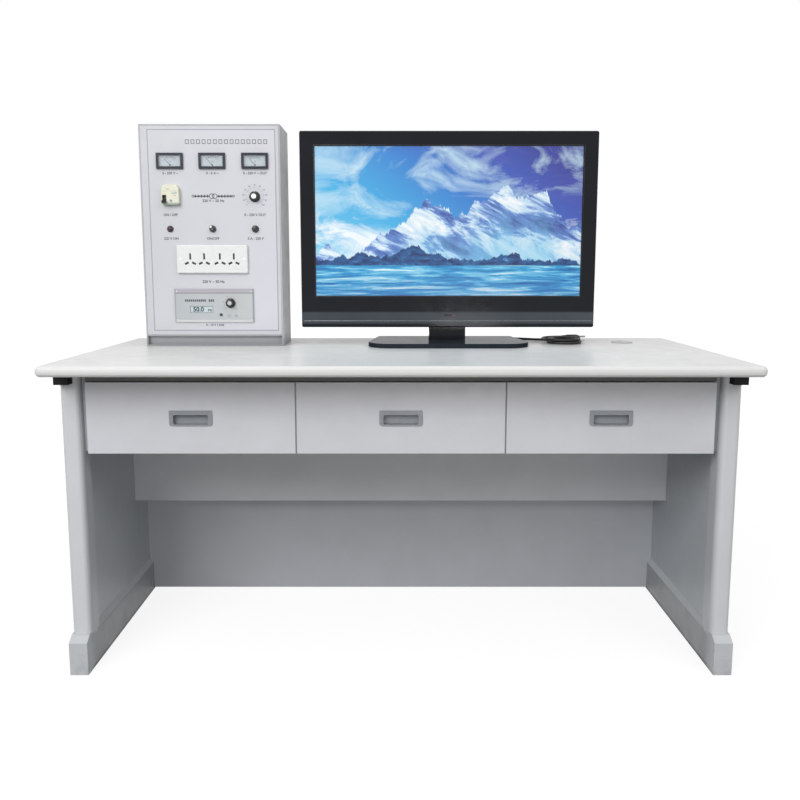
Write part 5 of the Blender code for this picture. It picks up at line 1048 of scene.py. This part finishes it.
def make_fuse():
    """The fuse carrier's fluted cap with a coin slot, drawn as a dark bar of painted shade."""
    x, z = on_console(COLUMNS[2], SWITCH_ROW)
    cap = (0, 0.0085), (0.0060, 0.0085), (0.0072, 0.0080), (0.0078, 0.0068), (0.0080, 0.0034)
    profile = *cap, (0.0090, 0.0030), (0.0095, 0.0022), (0.0095, 0.0003), (0, 0.0003)
    flutes = {"flutes": 16, "depth": 0.0006, "fluted": (0.0030, 0.0079)}
    black = plastic("fuse_cap_black", srgb(26, 26, 28), 0.3, 0.12)
    centres = [(x, CONSOLE_FRONT_Y, z)]
    piece = show_turned(
        "fuse_cap_moulding", profile, centres, black, "knob_plastic", "fuse_cap", steps=96, **flutes
    )
    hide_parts("fuse_cap")
    # Painted shade: a flat dark bar stands for the coin slot.
    shape = bmesh.new()
    add_bar(shape, x, z, 0.0100, 0.0016, CONSOLE_FRONT_Y - 0.0085 - PRINT_LIFT)
    show_print("fuse_cap_slot", shape, "fuse_slot_dark", srgb(8, 8, 9), "knob_plastic", "fuse_cap")


def make_breaker_details():
    """Screws, figures, seams and the small window of the leakage breaker."""
    x, z = on_console(*BREAKER_PLACE)
    face = BREAKER_FACE_Y
    shape = bmesh.new()
    profile = screw_profile(0.0014, 0.0019, 0.0006, 0.0003, -0.0004)
    for side in SIDES:
        screw_x, screw_z = x + side * 0.0155, z + 0.0205
        add_turned(shape, profile, (screw_x, face, screw_z), steps=28)
        add_bar(shape, screw_x, screw_z, 0.0030, 0.0004, face - 0.00062, math.radians(30 * side))
    brass = metal("breaker_screw_metal", (0.62, 0.60, 0.52), 0.3)
    show("breaker_screws", shape, brass, "cream_plastic")
    shape = bmesh.new()
    y = face - PRINT_LIFT
    for words, dx, dz, size in (
        ("I", -0.0150, 0.0018, 0.0036),
        ("O", -0.0062, -0.0200, 0.0036),
        ("T", 0.0072, -0.0160, 0.0032),
        ("ON", -0.0060, 0.0130, 0.0042),
        ("OFF", 0.0125, -0.0030, 0.0036),
    ):
        add_words(shape, words, x + dx, z + dz, size, y)
    add_bar(shape, x, z + 0.0085, 0.0380, 0.0003, y)
    add_bar(shape, x, z - 0.0218, 0.0430, 0.0004, y)
    show_print("breaker_print", shape, "breaker_ink", srgb(84, 92, 84), "cream_plastic")
    box = (x + 0.0060, face - 0.0007, z + 0.0020), (x + 0.0185, face + 0.0004, z + 0.0070)
    pale = plastic("breaker_window_plastic", srgb(176, 196, 190), 0.2, 0.05)
    show_boxes("breaker_window", [box], 0.0003, pale, "cream_plastic")


def make_socket_details():
    """Screws, gang lines with a centre seam, and dark sheets of painted shade in the slots."""
    x, z = on_console(*SOCKET_PLACE)
    face = SOCKET_FACE_Y
    profile = screw_profile(0.0022, 0.0030, 0.0007, 0.0002, -0.0004)
    centres = [(x + side * 0.0850, face, z) for side in SIDES]
    bright = metal("socket_screw_metal", (0.72, 0.72, 0.72), 0.25)
    show_turned("socket_screws", profile, centres, bright, "socket_white", steps=32)
    seams, painted_slot_shade = bmesh.new(), bmesh.new()
    y, deep_y = face - PRINT_LIFT, face + 0.0010
    slope = math.radians(65)
    outline = 0.0172
    for offset in OUTLET_OFFSETS:
        for dx, dz, width, height in (
            (0, outline, 2 * outline, 0.0003),
            (0, -outline - 0.0040, 2 * outline, 0.0003),
            (-outline, -0.0020, 0.0003, 2 * outline + 0.0040),
            (outline, -0.0020, 0.0003, 2 * outline + 0.0040),
        ):
            add_bar(seams, x + offset + dx, z - 0.0010 + dz, width, height, y)
        # Painted shade: flat dark sheets in the socket openings and pin slots.
        add_bar(painted_slot_shade, x + offset, z + 0.0072, 0.0049, 0.0164, deep_y)
        for side in SIDES:
            slot_x, slot_z = x + offset + side * 0.0095, z - 0.0108
            add_bar(painted_slot_shade, slot_x, slot_z, 0.0055, 0.0111, deep_y, -side * slope)
    add_bar(seams, x, z, 0.0004, 0.0600, y)
    show_print("socket_seams", seams, "socket_seam_ink", srgb(214, 214, 212), "socket_white")
    show_print("socket_depths", painted_slot_shade, "socket_depth_dark", srgb(22, 20, 20), "socket_white")


def make_generator_details():
    """Display figures, scale round the knob, jacks, corner screws and the display's frame."""
    x, z = on_console(*GENERATOR_PLACE)
    face = GENERATOR_FACE_Y
    y = face - PRINT_LIFT
    lit_y = face + 0.0012 - PRINT_LIFT
    shape = bmesh.new()
    add_words(shape, "50.0", x - 0.0430, z - 0.0108, 0.0170, lit_y, 1.6 * BOLD)
    add_words(shape, "Hz", x - 0.0125, z - 0.0122, 0.0092, lit_y, 1.6 * BOLD)
    add_dashes(shape, x - 0.0790, x - 0.0215, z + 0.0135, 0.0062, 11, y)
    add_dashes(shape, x - 0.0150, x + 0.0005, z + 0.0135, 0.0066, 3, y)
    knob_x, knob_z = x + GENERATOR_KNOB_PLACE[0], z + GENERATOR_KNOB_PLACE[1]
    for step in range(11):
        angle = math.radians(-135 + 27 * step)
        add_bar(shape, *clockwise(knob_x, knob_z, 0.0165, angle), 0.0005, 0.0026, y, angle)
        if step % 2 == 0:
            add_words(shape, str(step), *clockwise(knob_x, knob_z, 0.0208, angle), 0.0036, y)
    show_print("generator_print", shape, "generator_ink", srgb(52, 56, 66), "generator_silver")
    dark = plastic("jack_black", srgb(30, 30, 33), 0.3, 0.1)
    steel = metal("jack_metal", (0.66, 0.66, 0.68), 0.25)
    profile = ring_profile(0.0020, 0.0032, 0.0036, 0.0036, 0.0032, -0.0004)
    jacks = ((0.0184, -0.0245, dark), (0.0398, -0.0255, steel), (0.0590, -0.0255, steel))
    for index, (dx, dz, paint) in enumerate(jacks):
        place = (x + dx, face, z + dz)
        show_turned(f"generator_jack_{index}", profile, [place], paint, "generator_silver", steps=40)
    profile = screw_profile(0.0016, 0.0021, 0.0006, 0.0002, -0.0004)
    centres = [(x + side_x * 0.1000, face, z + side_z * 0.0385) for side_x, side_z in CORNERS]
    show_turned("generator_screws", profile, centres, steel, "generator_silver", steps=28)
    middle = x + DISPLAY_PLACE[0], z + DISPLAY_PLACE[1]
    rim = rim_boxes(face - 0.0006, face + 0.0003, *middle, *DISPLAY_HALF, 0.0009)
    grey = plastic("display_frame_plastic", srgb(120, 122, 132), 0.35, 0.05)
    show_boxes("display_frame", rim, 0.0002, grey, "generator_silver")


def add_diagram(shape, y):
    """One-line diagram: supply, isolating transformer and load."""
    x, z = on_console(*DIAGRAM_PLACE)
    line_z = z - DIAGRAM_DROP
    for side in SIDES:
        add_arc(shape, x + side * 0.0040, line_z, 0.0062, 0.0018, 0, math.tau, y, 40)
        add_bar(shape, x + side * 0.0307, line_z, 0.0410, 0.0026, y)
        add_arc(shape, x + side * 0.0538, line_z, 0.0027, 0.0016, 0, math.tau, y, 20)
        for step in range(5):
            add_bar(shape, x + side * (0.0150 + 0.0080 * step), line_z, 0.0030, 0.0072, y)
    add_words(shape, "220 V ~ 50 Hz", x, z - 0.0160, 0.0098, y, BOLD)


def make_panel_print():
    """Figures, rules and symbols printed on the panel: only generic ones."""
    y = CONSOLE_FRONT_Y - PRINT_LIFT
    dark, pale = bmesh.new(), bmesh.new()
    # A decorative row of small open squares.
    left, row = on_console(*SQUARES_LEFT)
    pitch = (on_console(*SQUARES_RIGHT)[0] - left) / 15
    for index in range(15):
        middle = left + (index + 0.5) * pitch
        for low_x, high_x, low_z, high_z in rim_sides(middle, row, 0.0030, 0.0038, 0.0021):
            place = (low_x + high_x) / 2, (low_z + high_z) / 2
            add_bar(pale, *place, high_x - low_x, high_z - low_z, y)
    for column, words in zip(METER_COLUMNS, ("0 - 250 V ~", "0 - 5 A ~", "0 - 250 V ~ OUT")):
        x, z = on_console(column, METER_ROW)
        add_words(dark, words, x, z - 0.0320, 0.0090, y, BOLD)
    add_diagram(dark, y)
    # Scale round the regulator.
    x, z = on_console(COLUMNS[2], KNOB_ROW)
    for step in range(31):
        angle = math.radians(-135 + 9 * step)
        reach, width, length = (0.0233, 0.0004, 0.0020) if step % 3 else (0.0240, 0.0007, 0.0034)
        add_bar(dark, *clockwise(x, z, reach, angle), width, length, y, angle)
        if step % 3 == 0:
            add_words(dark, str(step // 3 * 10), *clockwise(x, z, 0.0306, angle), 0.0056, y)
    for words, place, aside, drop, size in (
        ("0 - 250 V OUT", (COLUMNS[2], KNOB_ROW), 0, 0.0477, 0.0094),
        ("ON / OFF", (COLUMNS[0], BREAKER_ROW), 0.0020, 0.0528, 0.0092),
        ("220 V ON", (COLUMNS[0], SWITCH_ROW), 0.0015, 0.0255, 0.0092),
        ("ON/OFF", (COLUMNS[1], SWITCH_ROW), 0, 0.0255, 0.0092),
        ("5 A - 250 V", (COLUMNS[2], SWITCH_ROW), 0, 0.0255, 0.0092),
        ("220 V ~ 50 Hz", SOCKET_PLACE, 0, 0.0603, 0.0100),
        ("0 - 10 V 1 kHz", GENERATOR_PLACE, 0, 0.0528, 0.0082),
    ):
        x, z = on_console(*place)
        add_words(dark, words, x + aside, z - drop, size, y, BOLD)
    show_print("panel_figures", dark, "panel_ink", srgb(52, 56, 68), "panel_enamel")
    show_print("panel_rules", pale, "panel_rule_ink", srgb(112, 116, 124), "panel_enamel")


def make_console_back():
    """Rear inlet with its pins, and the cover's screws."""
    x, z = CONSOLE_X, DESK_HEIGHT + 0.13 * CONSOLE_HEIGHT
    back = CONSOLE_BACK_Y
    box = (x - 0.0238, back - 0.0280, z - 0.0138), (x + 0.0238, back - 0.0004, z + 0.0138)
    black = plastic("inlet_black", srgb(30, 30, 32), 0.4, 0.1)
    show_boxes("rear_inlet_body", [box], 0.0015, black, "knob_plastic")
    boxes = []
    for dx, dz in ((-0.0070, -0.0020), (0, 0.0030), (0.0070, -0.0020)):
        low = (x + dx - 0.0010, back - 0.0006, z + dz - 0.0030)
        boxes.append((low, (x + dx + 0.0010, back - 0.0001, z + dz + 0.0030)))
    brass = metal("inlet_pin_metal", (0.78, 0.74, 0.62), 0.25)
    show_boxes("rear_inlet_pins", boxes, 0.0002, brass, "bright_metal")
    profile = screw_profile(0.0020, 0.0030, 0.0006, 0.0002, -0.0006)
    low_z, rise = DESK_HEIGHT + 0.004, CONSOLE_HEIGHT - 0.008
    centres = [
        (x + side * 0.1740, back - 0.0006, low_z + share * rise)
        for side in SIDES
        for share in (0.05, 0.5, 0.95)
    ]
    steel = metal("cover_screw_metal", (0.6, 0.6, 0.62), 0.3)
    show_turned("rear_cover_screws", profile, centres, steel, "bright_metal", facing="BACK", steps=28)


# ---------------------------------------------------------------- television


def dress_television():
    """Gloss and matt black of the set, and its picture."""
    # The bezel's lower band is a painted reflection of the desktop.
    band = (TV_LOW + 0.012, TV_LOW + 0.039, srgb(72, 79, 86))
    dress("tv_front_bezel", gloss_black("bezel_gloss", srgb(12, 15, 23), 0.07, 0.23, band))
    dress("tv_screen", picture_paint())
    dress("tv_rear_cover", plastic("rear_cover_black", srgb(34, 35, 38), 0.55, 0.10, 0.35))
    dress("tv_stand_neck", gloss_black("neck_gloss", srgb(17, 21, 27), 0.10, 0.27))
    # Painted sheen: the base a lighter grey than the neck's gloss black, for the shine on its top.
    dress("tv_stand_base", gloss_black("base_gloss", srgb(40, 47, 53), 0.09, 0.5, ior=1.04))


def make_television_details():
    """Sensor window, power light, lower trim line and the trim round the picture."""
    x, y = TV_X, TV_FRONT_Y
    box = (x - 0.0100, y - 0.0002, TV_LOW + 0.0300), (x + 0.0100, y + 0.0006, TV_LOW + 0.0360)
    sensor = gloss_black("sensor_gloss", srgb(44, 20, 40), 0.06, 0.5)
    show_boxes("sensor_window", [box], 0.0003, sensor, "tv_gloss_black")
    profile = (0, 0.0005), (0.0010, 0.0004), (0.0013, 0), (0.0013, -0.0004), (0, -0.0004)
    red = ink_paint("power_light_red", srgb(190, 30, 34))
    show_turned("power_light", profile, [(x + 0.0180, y, TV_LOW + 0.0330)], red, "lamp_red", steps=24)
    half = TV_WIDTH / 2 - 0.006
    box = (x - half, y - 0.0008, TV_LOW + 0.0165), (x + half, y + 0.0006, TV_LOW + 0.0185)
    grey = metal("trim_line_metal", (0.20, 0.21, 0.23), 0.22)
    show_boxes("lower_trim_line", [box], 0.0006, grey, "tv_gloss_black", segments=3)
    window = x, SCREEN_LOW + SCREEN_HEIGHT / 2, SCREEN_WIDTH / 2, SCREEN_HEIGHT / 2 + 0.0004, 0.0010
    gloss = gloss_black("edge_trim_gloss", srgb(30, 32, 38), 0.2, 0.4)
    rim = rim_boxes(y - 0.0004, y + 0.0010, *window)
    show_boxes("picture_edge_trim", rim, 0.0003, gloss, "tv_gloss_black")


def make_rear_sockets():
    """Wall-mount bosses, and a strip of sockets on the set's back."""
    x, back = TV_X, TV_BACK_Y
    profile = ring_profile(0.0032, 0.0070, 0.0076, 0.0003, -0.0002, -0.0008)
    centres = [(x + side_x * 0.100, back - 0.0003, 1.057 + side_z * 0.050) for side_x, side_z in CORNERS]
    dull = metal("boss_metal", (0.35, 0.35, 0.37), 0.35)
    show_turned("mount_bosses", profile, centres, dull, "tv_matt_black", facing="BACK", steps=36)
    box = (x - 0.250, back - 0.0022, 0.900), (x - 0.110, back - 0.0001, 0.930)
    grey = plastic("socket_strip_plastic", srgb(50, 52, 56), 0.45, 0.08)
    show_boxes("socket_strip", [box], 0.0006, grey, "tv_matt_black")
    profile = ring_profile(0.0020, 0.0040, 0.0043, 0.0006, 0.0002, -0.0010)
    centres = [(x - 0.240 + 0.014 * step, back - 0.0007, 0.915) for step in range(5)]
    bright = metal("socket_ring_metal", (0.7, 0.7, 0.72), 0.25)
    show_turned("socket_rings", profile, centres, bright, "bright_metal", facing="BACK", steps=28)
    # Painted shade: flat dark inserts stand for the openings of the sockets.
    lefts = [x - 0.160 + 0.022 * step for step in range(2)]
    boxes = [((left, back - 0.0004, 0.911), (left + 0.014, back, 0.919)) for left in lefts]
    dark = ink_paint("socket_slot_dark", srgb(10, 10, 12))
    show_boxes("socket_slots", boxes, 0.0002, dark, "tv_matt_black")


# ---------------------------------------------------------------- lead


def eased(along):
    """A share from 0 to 1 that starts and ends gently."""
    along = min(max(along, 0), 1)
    return along**2 * (3 - 2 * along)


def coil_points(points_per_turn):
    """Five turns: inwards, up to the second layer, and out again."""
    points = []
    for step in range(COIL_TURNS * points_per_turn + 1):
        turn = step / points_per_turn
        inwards = COIL_PITCH * min(turn, COIL_TURNS - turn)
        radius = COIL_RADIUS - inwards + 0.0165 * eased((turn - 4.5) / 0.5)
        climb = COIL_PITCH * eased((turn - 2.25) / 0.5)
        angle = math.pi / 2 - math.tau * turn
        x, y = COIL_X + radius * math.cos(angle), COIL_Y + radius * math.sin(angle)
        points.append(Vector((x, y, COIL_LOW_Z + climb)))
    return points


def lead_route(entry):
    """From the set's back down to the desktop, then along it to the coil's entry."""
    start, bend_radius, low_z = Vector(LEAD_START), 0.030, 0.7688
    bend = [math.pi / 2 * step / 12 for step in range(13)]
    top = start + Vector((0, 0.015, 0))
    route = [start]
    for angle in bend:
        route.append(top + bend_radius * Vector((0, math.sin(angle), math.cos(angle) - 1)))
    low = Vector((start.x, route[-1].y, low_z + bend_radius))
    for angle in bend:
        route.append(low + bend_radius * Vector((1 - math.cos(angle), 0, -math.sin(angle))))
    turn = Vector((LEAD_TURN_X, low.y, low_z))
    settle = entry - Vector((0.016, 0, 0))
    for step in range(13):
        along = step / 12
        point = turn.lerp(settle, eased(along))
        point.x = turn.x + (settle.x - turn.x) * along
        route.append(point)
    route.append(entry)
    return route


def evenly(route, spacing):
    """Points at even steps along a route."""
    lengths = [0]
    for first, second in zip(route, route[1:]):
        lengths.append(lengths[-1] + (second - first).length)
    count = round(lengths[-1] / spacing)
    points, index = [], 0
    for step in range(count + 1):
        wanted = lengths[-1] * step / count
        while index < len(route) - 2 and lengths[index + 1] < wanted:
            index += 1
        share = (wanted - lengths[index]) / max(lengths[index + 1] - lengths[index], 1e-9)
        points.append(route[index].lerp(route[index + 1], share))
    return points


def make_lead():
    """The mains lead: a free run, a flat coil with its tie, a strain relief and a plug."""
    entry = Vector((COIL_X - LEAD_DIAMETER, COIL_Y + COIL_RADIUS, COIL_LOW_Z))
    coil = coil_points(36)
    points = evenly(lead_route(entry), 0.0115) + coil + [coil[-1] + Vector((LEAD_DIAMETER, 0, 0))]
    curve = bpy.data.curves.new("television_lead", "CURVE")
    curve.dimensions = "3D"
    curve.bevel_depth = LEAD_DIAMETER / 2
    curve.bevel_resolution = 4
    curve.use_fill_caps = True
    spline = curve.splines.new("POLY")
    spline.points.add(len(points) - 1)
    for point, place in zip(spline.points, points):
        point.co = (*place, 1)
    spline.use_smooth = True
    curve.materials.append(lead_paint("lead_sheath", 20, 20, 21))
    lead = added("television_lead", curve)
    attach(lead, "desk")
    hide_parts("tv_lead_run", "tv_lead_coil")
    relief = make_relief()
    dress("lead_tie", lead_paint("tie_fabric", 34, 34, 36))
    plug_pieces = make_plug(points[-1])


def rib(outer, inner, top):
    """Section of one rib and the groove after it, downwards from its top."""
    return [(outer, top), (outer, top - 0.0016), (inner, top - 0.0018), (inner, top - 0.0027)]


def make_relief():
    """A ribbed, tapering boot where the lead leaves the television."""
    profile = [(0, 0.0300), (0.0040, 0.0300), (0.0046, 0.0294)]
    for step in range(8):
        radius = 0.0047 + 0.00026 * step
        profile += rib(radius + 0.0002, radius - 0.0005, 0.0285 - 0.0029 * step)
    profile += [(0.0068, 0.0042), (0.0090, 0.0040), (0.0095, 0.0034), (0.0095, 0.0001), (0, 0.0001)]
    centre = (LEAD_START[0], TV_BACK_Y + 0.0003, LEAD_START[2])
    rubber = lead_paint("relief_rubber", 20, 20, 21)
    turning = {"angle": 50, "facing": "BACK", "steps": 40}
    piece = show_turned("lead_relief_boot", profile, [centre], rubber, "lead_rubber", **turning)
    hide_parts("tv_lead_relief")
    return piece


def make_plug(end):
    """A moulded plug: ribbed neck, waisted body with grips and three plated pins."""
    body_x, y, low, high = end.x + 0.0143, end.y, DESK_HEIGHT + 0.0003, DESK_HEIGHT + 0.0183
    profile = [(0, 0.0000)]
    for step in range(5):
        radius = 0.0042 + 0.0003 * step
        profile += rib(radius, radius - 0.0006, -0.0002 - 0.0028 * step)
    profile += [(0.0056, -0.0160), (0, -0.0160)]
    profile = [(radius, -height) for radius, height in reversed(profile)]
    centre = (end.x + 0.0003, y, end.z)
    rubber = lead_paint("plug_neck_rubber", 20, 20, 21)
    turning = {"angle": 50, "facing": "RIGHT", "steps": 32}
    neck = show_turned("plug_neck", profile, [centre], rubber, "lead_rubber", **turning)
    part = rounded_box((body_x, y - 0.0170, low), (body_x + PLUG_LENGTH, y + 0.0170, high), 0.0045, 4)
    for vert in part.verts:
        left_over = max(1 - (vert.co.x - body_x) / PLUG_LENGTH, 0)
        vert.co.y = y + (vert.co.y - y) * (1.0 - 0.30 * left_over**2)
    body = show("plug_body", part, lead_paint("plug_rubber", 24, 24, 26), "lead_rubber")
    lefts = [body_x + 0.0080 + 0.0036 * step for step in range(5)]
    boxes = [((x, y - 0.0100, high - 0.0004), (x + 0.0014, y + 0.0100, high)) for x in lefts]
    rubber = lead_paint("plug_grip_rubber", 40, 40, 42)
    grips = show_boxes("plug_grips", boxes, 0.0002, rubber, "lead_rubber")
    shape = bmesh.new()
    middle = (low + high) / 2
    for aside, rise, turn in ((-0.0079, 0.00475, 30), (0.0079, 0.00475, -30), (0, -0.00475, 0)):
        part = rounded_box((body_x + 0.0340, -0.0009, -0.00315), (body_x + 0.0540, 0.0009, 0.00315), 0.0005)
        turned = Matrix.Rotation(math.radians(turn), 3, "X")
        bmesh.ops.rotate(part, cent=(0, 0, 0), matrix=turned, verts=part.verts)
        bmesh.ops.translate(part, vec=(0, y + aside, middle + rise), verts=part.verts)
        merge(shape, part)
    pins = show("plug_pins", shape, metal("plug_pin_nickel", (0.72, 0.72, 0.72), 0.22), "bright_metal")
    pieces = [neck, body, grips, pins]
    for piece in pieces:
        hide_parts("tv_plug")
    return pieces


# ---------------------------------------------------------------- everything

bpy.context.scene.view_settings.view_transform = "Standard"
make_camera()
make_world()
make_floor()
make_light("key", (-1.9, -3.2, 2.7), (0, 0, 0.6), 2.0, 92)
make_light("fill", (2.4, -2.4, 3.1), (0, 0, 0.7), 2.0, 34)
make_light("overhead", (0, -0.4, 3.4), (0, -0.1, 0.7), 2.6, 18)
make_light("low", (0.5, -3.6, 0.28), (0, 0, 0.62), 0.45, 11)
make_light("rear", (-1.4, 3.3, 0.38), (0, 0, 0.7), 0.6, 26)
dress_desk()
make_pull_lips()
make_fascia()
dress_console()
make_meters()
regulator_x, regulator_z = on_console(COLUMNS[2], KNOB_ROW)
make_knob("regulator", regulator_x, regulator_z, CONSOLE_FRONT_Y, 1.0, 0.86)
generator_x, generator_z = on_console(*GENERATOR_PLACE)
knob_x, knob_z = generator_x + GENERATOR_KNOB_PLACE[0], generator_z + GENERATOR_KNOB_PLACE[1]
make_knob("generator", knob_x, knob_z, GENERATOR_FACE_Y, 0.90, 0.48)
make_lamp()
make_toggle()
make_fuse()
make_breaker_details()
make_socket_details()
make_generator_details()
make_panel_print()
make_console_back()
dress_television()
make_television_details()
make_rear_sockets()
make_lead()
